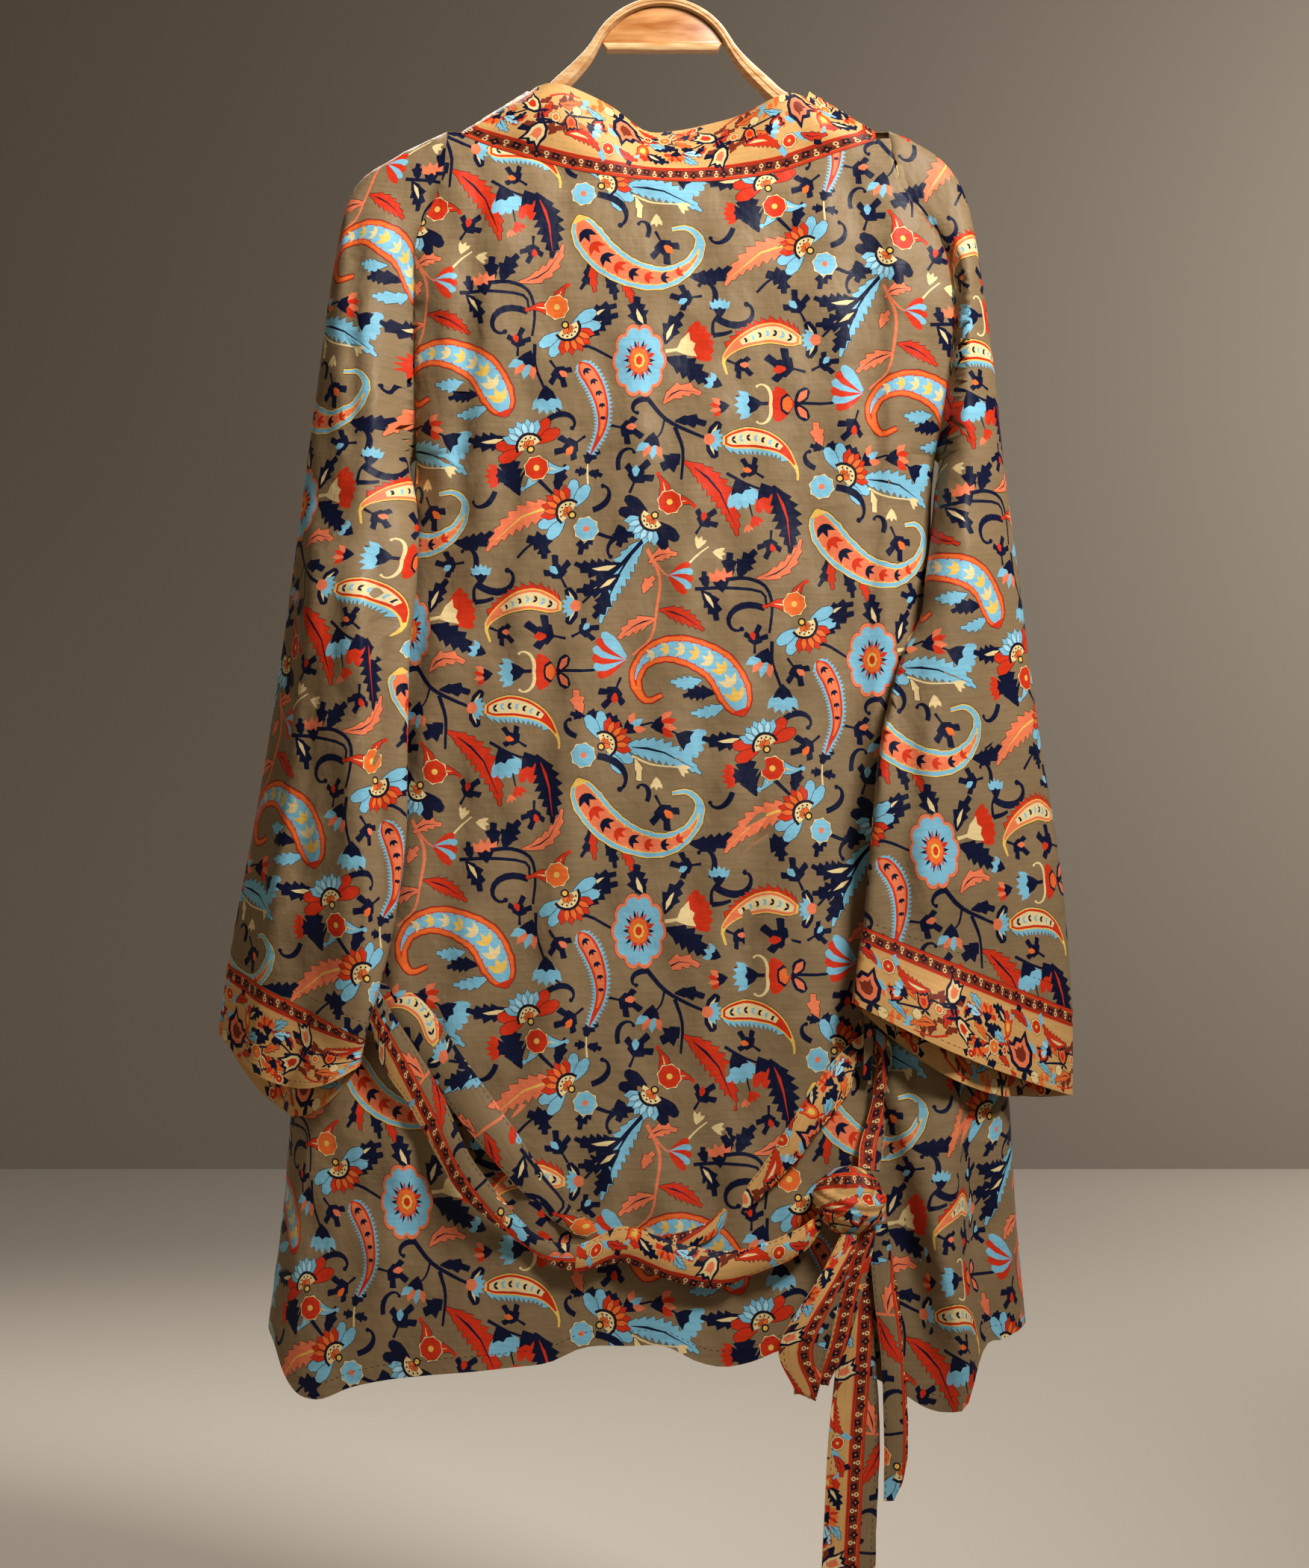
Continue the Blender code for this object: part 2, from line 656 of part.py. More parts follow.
def cloth_wall(name, grid, finish, thickness, closed=False, normals=None):
    """A cloth piece: a wall of even thickness round a grid of points."""
    if normals is None:
        normals = grid_normals(grid, closed)
    rows, columns = grid.shape[:2]
    shape = bmesh.new()
    faces = []
    for side in (0.5, -0.5):
        points = ((grid + normals * thickness * side) * MM).reshape(-1, 3)
        faces.append([shape.verts.new(point) for point in points])

    def corner(side, r, c):
        return faces[side][r * columns + c % columns]

    spans = columns if closed else columns - 1
    for r in range(rows - 1):
        for c in range(spans):
            for side, order in ((0, 1), (1, -1)):
                quad = [corner(side, r, c), corner(side, r + 1, c),
                        corner(side, r + 1, c + 1), corner(side, r, c + 1)]
                shape.faces.new(quad[::order])
    for c in range(spans):
        for r in (0, rows - 1):
            shape.faces.new([corner(0, r, c), corner(0, r, c + 1),
                             corner(1, r, c + 1), corner(1, r, c)])
    if not closed:
        for r in range(rows - 1):
            for c in (0, columns - 1):
                shape.faces.new([corner(0, r, c), corner(0, r + 1, c),
                                 corner(1, r + 1, c), corner(1, r, c)])
    bmesh.ops.recalc_face_normals(shape, faces=shape.faces)
    bmesh.ops.triangulate(shape, faces=shape.faces, quad_method="SHORT_EDGE")
    mesh = bpy.data.meshes.new(name)
    shape.to_mesh(mesh)
    shape.free()
    mesh.shade_smooth()
    return add_object(name, mesh, finish)


def tube(name, rings, finish, closed=False):
    """A solid through rings of points, closed into a loop or capped at both ends."""
    shape = bmesh.new()
    loops = [[shape.verts.new(point * MM) for point in points] for points in rings]
    count = len(loops[0])
    spans = len(loops) if closed else len(loops) - 1
    for r in range(spans):
        first, second = loops[r], loops[(r + 1) % len(loops)]
        for c in range(count):
            d = (c + 1) % count
            shape.faces.new([first[c], first[d], second[d], second[c]])
    if not closed:
        shape.faces.new(loops[0])
        shape.faces.new(loops[-1])
    bmesh.ops.recalc_face_normals(shape, faces=shape.faces)
    mesh = bpy.data.meshes.new(name)
    shape.to_mesh(mesh)
    shape.free()
    return add_object(name, mesh, finish)


def build_robe():
    """Back, fronts, sleeves, cuffs and neckband, seam by seam."""
    back = back_panel_grid()
    fronts = {side: front_panel_grid(side) for side in ("left", "right")}
    band = neckband_grid(back, fronts["left"], fronts["right"])
    grids = {"back_panel": back, "neckband": band}
    closed = {"back_panel": False, "neckband": False}
    for row, side in enumerate(("left", "right")):
        seam = armhole_ring(side, back, fronts[side])
        sleeve = sleeve_grid(side, seam)
        grids["front_" + side], closed["front_" + side] = fronts[side], False
        grids["sleeve_" + side], closed["sleeve_" + side] = sleeve, True
        grids["cuff_" + side], closed["cuff_" + side] = cuff_grid(row, sleeve[-1]), True

    normals = {name: grid_normals(grid, closed[name]) for name, grid in grids.items()}
    for name in ("front_left", "sleeve_right", "cuff_right"):
        normals[name] *= -1
    share_seams(normals)
    trimmed = {name: grid.copy() for name, grid in grids.items()}
    for name, grid in grids.items():
        new = trimmed[name]
        if closed[name] or name == "neckband":
            ends = [0, -1] if name.startswith("sleeve") else [0]
            if name == "neckband":
                new[:, 0] = pull_back(grid[:, 0], grid[:, 1])
            else:
                for end in ends:
                    new[end] = pull_back(grid[end], grid[1 if end == 0 else -2])
            continue
        new[:, 0] = pull_back(grid[:, 0], grid[:, 1])
        new[:, -1] = pull_back(grid[:, -1], grid[:, -2])
        new[0] = pull_back(new[0], grid[1])

    finishes = {"neck": "border", "cuff": "border"}
    for name, grid in trimmed.items():
        finish = finishes.get(name[:4], "silk")
        thickness = BAND_CLOTH if finish == "border" else CLOTH
        cloth_wall(name, grid, finish, thickness, closed[name], normals[name])


def on_back(x, z, out):
    """Points at a distance off the robe's back, or hanging free below its hem."""
    x, z, out = np.broadcast_arrays(np.asarray(x, float), z, out)
    held = np.maximum(z, smooth(BACK_HEM["x"], BACK_HEM["height"], x) + 12)
    step = 2.0
    slope_x = (body_depth(x + step, held, "back") - body_depth(x - step, held, "back")) / (2 * step)
    slope_z = (body_depth(x, held + step, "back") - body_depth(x, held - step, "back")) / (2 * step)
    slope_z = np.where(z < held, 0, slope_z)
    reach = out / np.sqrt(1 + slope_x ** 2 + slope_z ** 2)
    y = body_depth(x, held, "back")
    return np.stack([x - slope_x * reach, y + reach, z - slope_z * reach], axis=-1)


def ribbon_grid(rows, steps):
    """Points of a flat stretch of sash between its two edges."""
    x_a, z_a, x_b, z_b, out, bulge = along(rows, EDGES.split(), steps)
    across = np.linspace(0, 1, RIBBON_COLUMNS + 1)[None, :]
    x = x_a[:, None] + (x_b - x_a)[:, None] * across
    z = z_a[:, None] + (z_b - z_a)[:, None] * across
    lift = out[:, None] + bulge[:, None] * np.sin(math.pi * across)
    return on_back(x, z, lift)


def build_sash():
    """The stretches of the sash that show, its bow, its tails and its knot."""
    for name, rows in SASH.items():
        cloth_wall(name, ribbon_grid(rows, 2 * len(rows["out"]) - 1), "sash", SASH_CLOTH)
    for name, rows in BOWS.items():
        near = ribbon_grid(rows, 2 * len(rows["out"]) - 1)
        far = near[::-1].copy()
        far[:, :, 1] -= BOW_PLY_GAP
        tip = (near[-1:] + far[:1]) / 2
        tip[:, :, 2] -= BOW_PLY_GAP / 2
        cloth_wall(name, np.vstack([near, tip, far]), "sash", SASH_CLOTH)
    build_knot()


def build_knot():
    """A squashed ball with a raised wrap, where the sash is tied."""
    turns, bands = KNOT_STEPS
    centre_x, centre_z = KNOT_CENTRE
    centre_y = on_back(centre_x, centre_z, KNOT_OUT)[1]
    rings = []
    for k in range(1, bands):
        tilt = math.pi * k / bands
        wrap = 1 + 0.16 * math.exp(-((k - bands / 2) / 1.6) ** 2)
        points = []
        for n in range(turns):
            turn = 2 * math.pi * n / turns
            side = math.sin(tilt) * wrap
            points.append((centre_x + KNOT_HALF[0] * side * math.cos(turn),
                           centre_y + KNOT_HALF[1] * side * math.sin(turn),
                           centre_z + KNOT_HALF[2] * math.cos(tilt)))
        rings.append(np.array(points))
    tube("sash_knot", rings, "sash")


def build_belt_loops():
    """A narrow strip on each side that hangs from the robe round the sash."""
    for k, side in enumerate(("left", "right")):
        loop = {name: values[k] for name, values in LOOPS.items()}
        top, bottom = loop["top"], loop["bottom"]
        height = top - bottom
        route = [(0.0, loop["near"] * 0.55), (0.25, loop["near"] * 0.92), (0.8, loop["near"]),
                 (1.0, (loop["near"] + loop["far"]) / 2), (0.85, loop["far"]), (0.12, loop["far"])]
        share, out = (smooth(range(len(route)), [p[i] for p in route],
                             np.linspace(0, len(route) - 1, 19)) for i in (0, 1))
        z = top - height * share
        x = loop["x"] + np.array([-0.5, 0.5]) * LOOP_WIDTH
        clear = out + CLOTH / 2 + LOOP_CLOTH / 2
        grid = on_back(x[None, :], z[:, None], clear[:, None])
        cloth_wall("belt_loop_" + side, grid, "silk", LOOP_CLOTH)


def rail_path():
    """Middle line of the whole rail with its face width and depth, end to end."""
    turn = np.linspace(0, ARCH_SPAN, 9)
    arch = np.column_stack([ARCH_RADIUS * np.sin(turn),
                            ARCH_CENTRE + ARCH_RADIUS * np.cos(turn),
                            np.full(9, ARCH_FACE), np.full(9, ARCH_DEPTH)])
    leg = np.column_stack([RAIL[name] for name in ("x", "height", "face", "depth")])
    knots = np.vstack([arch, leg])
    places = np.arange(len(knots))
    wanted = np.linspace(0, len(knots) - 1, 2 * len(knots) - 1)
    half = np.column_stack([smooth(places, knots[:, i], wanted) for i in range(4)])
    other = half[:0:-1] * (-1, 1, 1, 1)
    return np.vstack([other, half])


def rail_section(face, depth):
    """Outline of the rail across its length: bevelled on its inner side."""
    bevel = 0.28
    return [(0.5 * face, -0.5 * depth + 1), (0.5 * face, 0.5 * depth - 1),
            (0.5 * face - 1, 0.5 * depth), (-0.5 * face + bevel * face, 0.5 * depth),
            (-0.5 * face, 0.5 * depth - bevel * depth), (-0.5 * face, -0.5 * depth + bevel * depth),
            (-0.5 * face + bevel * face, -0.5 * depth), (0.5 * face - 1, -0.5 * depth)]


def build_hanger():
    """Bent rail, half-round panel with its bar, and the wire hook."""
    path = rail_path()
    heading = np.gradient(path[:, :2], axis=0)
    heading /= np.linalg.norm(heading, axis=1, keepdims=True)
    outward = np.column_stack([-heading[:, 1], heading[:, 0]])
    rings = []
    for (x, z, face, depth), (out_x, out_z) in zip(path, outward):
        rings.append(np.array([(x + out_x * u, v, z + out_z * u)
                               for u, v in rail_section(face, depth)]))
    tube("hanger_rail", rings, "pale_wood")

    inner = ARCH_RADIUS - ARCH_FACE / 2 - 0.35
    reach = math.acos((PANEL_FOOT - ARCH_CENTRE) / inner)
    turns = np.linspace(-reach, reach, 25)
    outline = [(inner * math.sin(t), ARCH_CENTRE + inner * math.cos(t)) for t in turns]
    plate = [np.array([(x, side * PANEL_DEPTH / 2, z) for x, z in outline]) for side in (1, -1)]
    tube("hanger_panel", plate, "veneer")
    foot = inner * math.sin(reach) - 0.6
    bar = [np.array([(x, y, z) for x, z in ((foot, PANEL_FOOT - 0.3), (foot - 3, PANEL_FOOT - BAR_HEIGHT),
                                            (-foot + 3, PANEL_FOOT - BAR_HEIGHT),
                                            (-foot, PANEL_FOOT - 0.3))])
           for y in (ARCH_DEPTH / 2 - 1, 1 - ARCH_DEPTH / 2)]
    tube("hanger_bar", bar, "pale_wood")

    wire = bpy.data.curves.new("hanger_hook", "CURVE")
    wire.dimensions = "3D"
    wire.bevel_depth = HOOK_WIRE / 2 * MM
    wire.bevel_resolution = 2
    wire.use_fill_caps = True
    places = np.arange(len(HOOK["x"]))
    wanted = np.linspace(0, len(places) - 1, HOOK_STEPS)
    line = wire.splines.new("POLY")
    line.points.add(HOOK_STEPS - 1)
    for point, place in zip(line.points, wanted):
        x, z = (float(smooth(places, HOOK[name], place)) for name in ("x", "height"))
        point.co = (x * MM, 0, z * MM, 1)
    wire.materials.append(material("metal"))
    hook = bpy.data.objects.new("hanger_hook", wire)
    collection("kimono_robe").objects.link(hook)


def main():
    for item in list(bpy.data.objects):
        bpy.data.objects.remove(item, do_unlink=True)
    build_robe()
    build_sash()
    build_belt_loops()
    build_hanger()


main()
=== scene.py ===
"""Looks of the kimono robe: printed silk, border bands, tied sash and wooden hanger.

The robe's front faces -Y and the camera looks at its back. Tables are in millimetres.
Each cloth piece is a fine grid of points with its flat pattern; the print is laid out on
the flat pattern as coloured faces and carried to the grid, so that it follows the cloth.
"""
import math

import bpy
import numpy as np
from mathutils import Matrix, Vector
from mathutils.geometry import delaunay_2d_cdt
from mathutils.kdtree import KDTree


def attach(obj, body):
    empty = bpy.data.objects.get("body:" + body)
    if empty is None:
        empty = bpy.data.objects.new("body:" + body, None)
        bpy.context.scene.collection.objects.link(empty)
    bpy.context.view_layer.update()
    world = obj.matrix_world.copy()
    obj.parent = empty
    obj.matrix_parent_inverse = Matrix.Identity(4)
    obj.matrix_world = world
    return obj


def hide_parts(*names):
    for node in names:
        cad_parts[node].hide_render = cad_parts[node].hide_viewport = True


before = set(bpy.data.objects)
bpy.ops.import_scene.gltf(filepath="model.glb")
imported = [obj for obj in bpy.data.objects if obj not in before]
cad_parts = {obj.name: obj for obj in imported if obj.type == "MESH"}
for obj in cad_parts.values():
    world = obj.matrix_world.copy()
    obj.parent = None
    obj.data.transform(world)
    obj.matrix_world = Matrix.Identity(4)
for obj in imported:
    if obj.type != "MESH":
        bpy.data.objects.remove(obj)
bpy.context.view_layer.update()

MM = 0.001
FINE = 4               # grid steps for each step of the solids' grids
CLOTH = 1.4            # thickness of the robe's cloth
BAND_CLOTH = 2.0       # doubled cloth of neckband and cuffs
SASH_CLOTH = 1.8       # doubled cloth of the sash
SEAM_GAP = 0.24        # clear space between two pieces at a seam
SIDES = ("left", "right")
TINY = 1e-9            # keeps a division away from nothing

# The body of the robe
UNDERARM = -400.0
ROUNDNESS = 0.40
EDGE_SPREAD = -290.0
ARMHOLE_DEPTH = 17.0
ARMHOLE_ROWS = 12 * FINE
SKIRT_ROWS = 15 * FINE
BACK_COLUMNS = 26 * FINE
SHOULDER_COLUMNS = 3 * FINE
FRONT_COLUMNS = 9 * FINE
EVEN_FOOT = -250.0
SPREAD_MORE = 1.4      # how much faster a wall leaves its side seam below EDGE_SPREAD
SPREAD_RUN = 80.0      # the height over which that grows
FOLD_RISE = 30.0       # how far above its first point a fold begins
FOLD_FALL = 60.0       # how far above its last point a fold has run out
FOLD_RUN = 55.0        # the height over which it rises and falls

# Neckband, cuffs and sash
BAND_WIDTH = 57.0
BAND_COLUMNS = 3 * FINE
CUFF_ROWS = 3 * FINE
SLEEVE_ROWS = 15 * FINE
SEAM_REACH = 6 * FINE
PLIES_APART = 14.0
RIBBON_COLUMNS = 3 * FINE
RIBBON_ROWS = 2 * FINE
HEM_HOLD = 12.0        # how far above the hem the sash still follows the back


def table(columns, *rows):
    """A table as a dictionary, from column name to an array of its values."""
    return dict(zip(columns.split(), np.array(rows, float).T))


SECTIONS = table(
    "height left right back front",
    (-160, 158, -167, 3, 3),
    (-173, 158.5, -168, 10.5, 10),
    (-190, 160, -171, 14, 13),
    (-211, 166, -180, 19, 17),
    (-235, 178, -199, 24, 21),
    (-282, 181, -212, 32, 26),
    (-340, 181, -209, 40, 30),
    (-400, 181, -200, 46, 34),
    (-440, 184, -197, 49, 36),
    (-550, 210, -210, 56, 42),
    (-700, 243, -236, 64, 48),
    (-865, 271, -254, 72, 54),
    (-950, 278, -259, 76, 58),
    (-1045, 290, -267, 80, 62),
    (-1100, 296, -270, 82, 64),
)
NECKLINE = table(
    "x height",
    (-161, -166), (-130, -176), (-82, -192), (-35, -199), (13, -198),
    (60, -191), (108, -178), (132, -170), (152, -161),
)
FRONT_EDGE = table(
    "height left right",
    (-160, 147.5, -156.5),
    (-190, 146, -155),
    (-230, 136, -144),
    (-280, 114, -121),
    (-340, 92, -98),
    (-430, 77, -81),
    (-600, 72, -74),
    (-1060, 76, -78),
)
BACK_HEM = table(
    "x height",
    (-268, -1035), (-249, -1043), (-233, -1048), (-226, -1062), (-219, -1083),
    (-204, -1091), (-188, -1088), (-171, -1077), (-140, -1060), (-87, -1043),
    (-64, -1052), (-42, -1056), (-25, -1052), (-3, -1041), (25, -1041),
    (59, -1043), (81, -1053), (110, -1057), (166, -1063), (222, -1074),
    (250, -1084), (263, -1080), (275, -1066), (284, -1048), (291, -1038),
)
FRONT_HEM = table(
    "x height",
    (-268, -1035), (-235, -1047), (-190, -1052), (-120, -1046), (-74, -1040),
    (74, -1040), (120, -1045), (200, -1054), (258, -1050), (291, -1038),
)
BAND_BACK = table(
    "seam_x free_x free_y free_z bulge",
    (-161, -106, 0, -138, 0),
    (-130, -101, 8, -135, 7),
    (-106, -92, 12, -134, 5),
    (-82, -80, 10, -138, 5),
    (-59, -59, -2, -147, 5),
    (-35, -35, -14, -152, 5),
    (-11, -10, -20, -156, 5),
    (13, 13, -20, -156, 5),
    (37, 37, -6, -141, 5),
    (60, 59, 8, -132, 5),
    (85, 76, 13, -127, 5),
    (120, 90, 8, -128, 7),
    (152, 98, 0, -132, 0),
)
BAND_FRONT = table(
    "height lean free_y",
    (-160, 32, -3),
    (-167, 31, -11),
    (-175, 30, -14),
    (-200, 26, -18),
    (-250, 19, -25),
    (-340, 8, -33),
    (-430, 1, -38),
    (-600, 0, -46),
    (-1060, 0, -65),
)
STATIONS = "outer_x outer_y outer_z inner_x inner_y inner_z near far bow"
SLEEVES = {
    "left": table(
        STATIONS,
        (190, 0, -175, 186, 2, -405, 17, 17, 0),
        (226, 2, -202, 185, 5, -414, 19, 18, 0),
        (240, 4, -255, 181, 12, -433, 21, 18, 0),
        (250, 5, -325, 178, 26, -460, 22, 18, 0),
        (259, 6, -395, 179, 42, -498, 23, 18, 0),
        (268, 8, -466, 183, 53, -545, 24, 18, 0),
        (281, 8, -560, 184, 60, -610, 23, 18, 0),
        (297, 6, -657, 185, 64, -680, 22, 18, 0),
        (311, 4, -730, 196, 66, -755, 20, 18, 0),
        (319, 2, -772, 214, 64, -822, 18, 18, 0),
    ),
    "right": table(
        STATIONS,
        (-182, 0, -166, -204, 1, -404, 18, 17, 0),
        (-206, 1, -182, -204, 2, -413, 21, 17, 0),
        (-223, 2, -210, -201, 3, -426, 23, 18, 0),
        (-233, 4, -262, -199, 8, -443, 24, 18, 1),
        (-243, 5, -335, -196, 14, -466, 24, 18, 3),
        (-250, 6, -405, -192, 26, -490, 23, 17, 2),
        (-257, 8, -460, -188, 38, -518, 22, 16, 1),
        (-266, 9, -530, -172, 52, -552, 20, 15, 0),
        (-277, 8, -610, -157, 65, -610, 20, 15, 0),
        (-287, 7, -670, -150, 72, -675, 20, 16, 0),
        (-295, 6, -730, -146, 76, -720, 19, 17, 0),
        (-301, 4, -806, -144, 77, -742, 17, 17, 0),
    ),
}
FORWARD = 32.0
CLEARANCE = table(
    "height behind outside",
    (-400, 5, 8),
    (-450, 7, 10),
    (-600, 13, 18),
    (-740, 19.5, 24),
    (-1100, 19.5, 24),
)
CUFF_EDGES = table(
    "outer_x outer_y outer_z inner_x inner_y inner_z near_drop far_drop",
    (326, 0, -822, 218, 60, -842, 26, 48),
    (-301, 2, -869, -136, 79, -796, 4, 24),
)
FOLD_COLUMNS = "x0 z0 x1 z1 x2 z2 height left_flank right_flank"
BODY_FOLDS = table(
    FOLD_COLUMNS,
    (-171, -215, -168, -360, -154, -640, 9, 8, 30),
    (-208, -800, -213, -940, -222, -1090, 11, 26, 7),
    (-166, -840, -188, -930, -216, -1060, 9, 12, 18),
    (10, -880, -6, -960, -10, -1050, 6, 30, 22),
    (120, -880, 128, -980, 150, -1075, 7, 30, 30),
    (-95, -640, -92, -800, -80, -1050, 6, 26, 26),
    (232, -870, 246, -960, 262, -1075, 6, 20, 26),
)
SLEEVE_FOLDS = {
    "left": table(
        FOLD_COLUMNS,
        (252, -470, 268, -620, 292, -790, 12, 7, 30),
        (214, -500, 213, -600, 212, -800, 9, 30, 6),
        (196, -230, 190, -340, 186, -460, 6, 22, 12),
    ),
    "right": table(
        FOLD_COLUMNS,
        (-212, -450, -204, -560, -190, -700, 6, 12, 30),
        (-170, -400, -160, -520, -154, -640, 5, 14, 10),
        (-240, -480, -248, -620, -262, -780, 5, 26, 26),
    ),
}
EDGES = "x_a z_a x_b z_b out bulge"
SASH = {
    "sash_swag": table(
        EDGES,
        (219, -776, 219, -796, 10.2, 0),
        (221.1, -776, 221.1, -796, 9.3, 0),
        (222, -776, 222, -796, 7.2, 0),
        (221.1, -776, 221.1, -796, 5.1, 0),
        (219, -776, 219, -796, 4.2, 0),
        (214, -778, 215, -798, 4.2, 0),
        (196, -786, 199, -803, 4.6, 1),
        (172, -796, 188, -819, 5, 2),
        (143, -835, 162, -858, 6, 2),
        (112, -879, 130, -897, 6, 2),
        (78, -928, 92, -940, 6, 1),
        (47, -954, 56, -964, 5, 1),
        (4, -961, 4, -975, 4, 1),
        (-25, -956, -23, -969, 4, 1),
        (-43, -944, -46, -956, 4, 1),
        (-62, -926, -68, -938, 5, 1),
        (-79, -902, -92, -911, 6, 1.5),
        (-96, -872, -111, -886, 7, 2),
        (-115, -845, -133, -860, 7, 1.5),
        (-134, -826, -138, -842, 5.6, 0),
        (-151, -816, -151, -836, 5.6, 0),
    ),
    "sash_wrap": table(
        EDGES,
        (218.4, -776, 218.4, -796, 10.2, 0),
        (206, -783, 209, -806, 10.2, 0),
        (192, -805, 199, -842, 10, 2),
        (163, -850, 177, -875, 11, 2),
        (130, -912, 142, -930, 12, 2),
        (95, -958, 99, -969, 12, 1),
        (60, -968, 62, -987, 12, 2),
        (25, -955, 27, -980, 12, 3),
        (-14, -968, -8, -993, 12, 3),
        (-42, -973, -38, -999, 13, 3),
        (-69, -969, -70, -987, 14, 3),
        (-92, -957, -94, -974, 16, 2),
        (-105.9, -946, -106.9, -958, 18, 0.5),
    ),
    "sash_drop": table(
        EDGES,
        (-152.3, -836, -152.3, -816, 5.6, 0),
        (-155, -845, -163, -829, 6, 0.5),
        (-151, -862, -163, -857, 9, 2),
        (-143, -886, -160, -883, 12, 2),
        (-138, -900, -155, -900, 16, 1),
        (-136, -913.6, -151, -917.5, 20, 0),
    ),
    "sash_tail_long": table(
        EDGES,
        (-127, -958.9, -143, -958.9, 13, 0),
        (-128, -1000, -147, -1000, 7, 1),
        (-122, -1062, -152, -1060, 6, 1),
        (-117, -1110, -154, -1110, 6, 2),
        (-114, -1165, -152, -1165, 6, 2),
        (-112, -1205, -151, -1205, 6, 2),
        (-111, -1240, -150, -1240, 6, 2),
    ),
    "sash_tail_short": table(
        EDGES,
        (-147, -953.2, -158, -953.2, 14, 0),
        (-147, -980, -163, -986, 12, 1),
        (-149, -1006, -167, -1012, 12, 2),
        (-154, -1050, -170, -1050, 12, 2),
        (-156, -1100, -173, -1100, 12, 2),
        (-156, -1130, -171, -1132, 12, 1),
        (-156, -1152, -163, -1152, 12, 0),
    ),
}
BOWS = {
    "sash_bow_1": table(
        EDGES,
        (-121, -960.6, -133, -961, 27, 1),
        (-108, -982, -130, -975, 29, 3),
        (-91, -1010, -120, -1003, 30, 4),
        (-80, -1040, -108, -1040, 29, 3),
        (-88, -1068, -101, -1074, 26, 1),
    ),
    "sash_bow_2": table(
        EDGES,
        (-135, -961, -148, -958, 21, 1),
        (-128, -985, -145, -978, 20, 2),
        (-121, -1010, -138, -1005, 19, 2),
        (-114, -1040, -128, -1038, 18, 2),
        (-104, -1062, -114, -1066, 17, 1),
    ),
}
BOW_PLY_GAP = 5.0
LOOP_WIDTH = 7.0
LOOPS = table(  # the left loop and the right one
    "x top bottom near far",
    (213, -752, -812, 11.8, 1.0),
    (-146, -783, -852, 9.2, 1.8),
)


def unit(vectors):
    """The same vectors at unit length."""
    return vectors / np.linalg.norm(vectors, axis=-1, keepdims=True)


def smooth(xs, ys, x):
    """Value at x of the smooth curve through the points (xs, ys)."""
    xs, ys, x = np.asarray(xs, float), np.asarray(ys, float), np.asarray(x, float)
    if xs[0] > xs[-1]:
        xs, ys = xs[::-1], ys[::-1]
    slopes = np.gradient(ys, xs)
    x = np.clip(x, xs[0], xs[-1])
    i = np.clip(np.searchsorted(xs, x) - 1, 0, len(xs) - 2)
    step = xs[i + 1] - xs[i]
    t = (x - xs[i]) / step
    rise = t * t * (3 - 2 * t)
    return (ys[i] + rise * (ys[i + 1] - ys[i])
            + step * (t * (1 - t) ** 2 * slopes[i] - t * t * (1 - t) * slopes[i + 1]))


def smooth_line(points, count):
    """A smooth line of a number of points through a few points, with any number of columns."""
    places = np.arange(len(points))
    wanted = np.linspace(0, places[-1], count)
    return np.column_stack([smooth(places, values, wanted) for values in np.array(points, float).T])


def column(rows, name, height):
    """One column of a table at a height."""
    return smooth(rows["height"], rows[name], height)


def along(rows, names, count):
    """The named columns at evenly spaced places down a table, for a smooth loft."""
    places = np.arange(len(rows[names[0]]), dtype=float)
    wanted = np.linspace(0, places[-1], count)
    return [smooth(places, rows[name], wanted) for name in names]


def taper(z, top, bottom, run=FOLD_RUN):
    """1 between two heights, falling smoothly to 0 at both ends."""
    t = np.clip(np.minimum(top - z, z - bottom) / run, 0, 1)
    return t * t * (3 - 2 * t)


def fold_lift(folds, x, z):
    """How far the folds of a table lift a wall at (x, z)."""
    lift = np.zeros(np.broadcast(x, z).shape)
    for k in range(len(folds["x0"])):
        f = {name: values[k] for name, values in folds.items()}
        heights, places = [f["z0"], f["z1"], f["z2"]], [f["x0"], f["x1"], f["x2"]]
        off = x - smooth(heights, places, z)
        flank = np.where(off > 0, f["left_flank"], f["right_flank"])
        bell = np.exp(-((off / flank) ** 2))
        lift += f["height"] * bell * taper(z, f["z0"] + FOLD_RISE, f["z2"] - FOLD_FALL)
    return lift


def armhole_half(z):
    """Half the armhole's opening, front to back, at a height."""
    top = SECTIONS["height"][0]
    f = np.clip((top - z) / (top - UNDERARM), 0, 1)
    return ARMHOLE_DEPTH * (1 - np.abs(2 * f - 1) ** 3) ** 0.45


def section(z):
    """Centre and half-width of the body at a height."""
    left, right = column(SECTIONS, "left", z), column(SECTIONS, "right", z)
    return (left + right) / 2, (left - right) / 2


def body_depth(x, z, side):
    """Y of the body's middle surface: side is 'back' or 'front'."""
    centre, half = section(z)
    t = np.clip((x - centre) / half, -1, 1)
    edge = armhole_half(z)
    depth = column(SECTIONS, side, z)
    round_in = (1 - t * t) ** ROUNDNESS
    spread = 1 + SPREAD_MORE * np.clip((EDGE_SPREAD - z) / SPREAD_RUN, 0, 1)
    y = depth * round_in + edge * (1 - round_in) ** spread
    if side == "front":
        return -y
    return y + fold_lift(BODY_FOLDS, x, z) * (1 - t ** 8)


def row_heights(top, hem):
    """Heights of a panel's rows: closest at both ends of the armhole, even below it."""
    f = (1 - np.cos(np.arange(ARMHOLE_ROWS + 1) / ARMHOLE_ROWS * math.pi)) / 2
    upper = top + (UNDERARM - top) * f[:, None]
    g = np.arange(1, SKIRT_ROWS + 1) / SKIRT_ROWS
    lower = UNDERARM + (hem - UNDERARM) * g[:, None]
    return np.vstack([upper, lower])


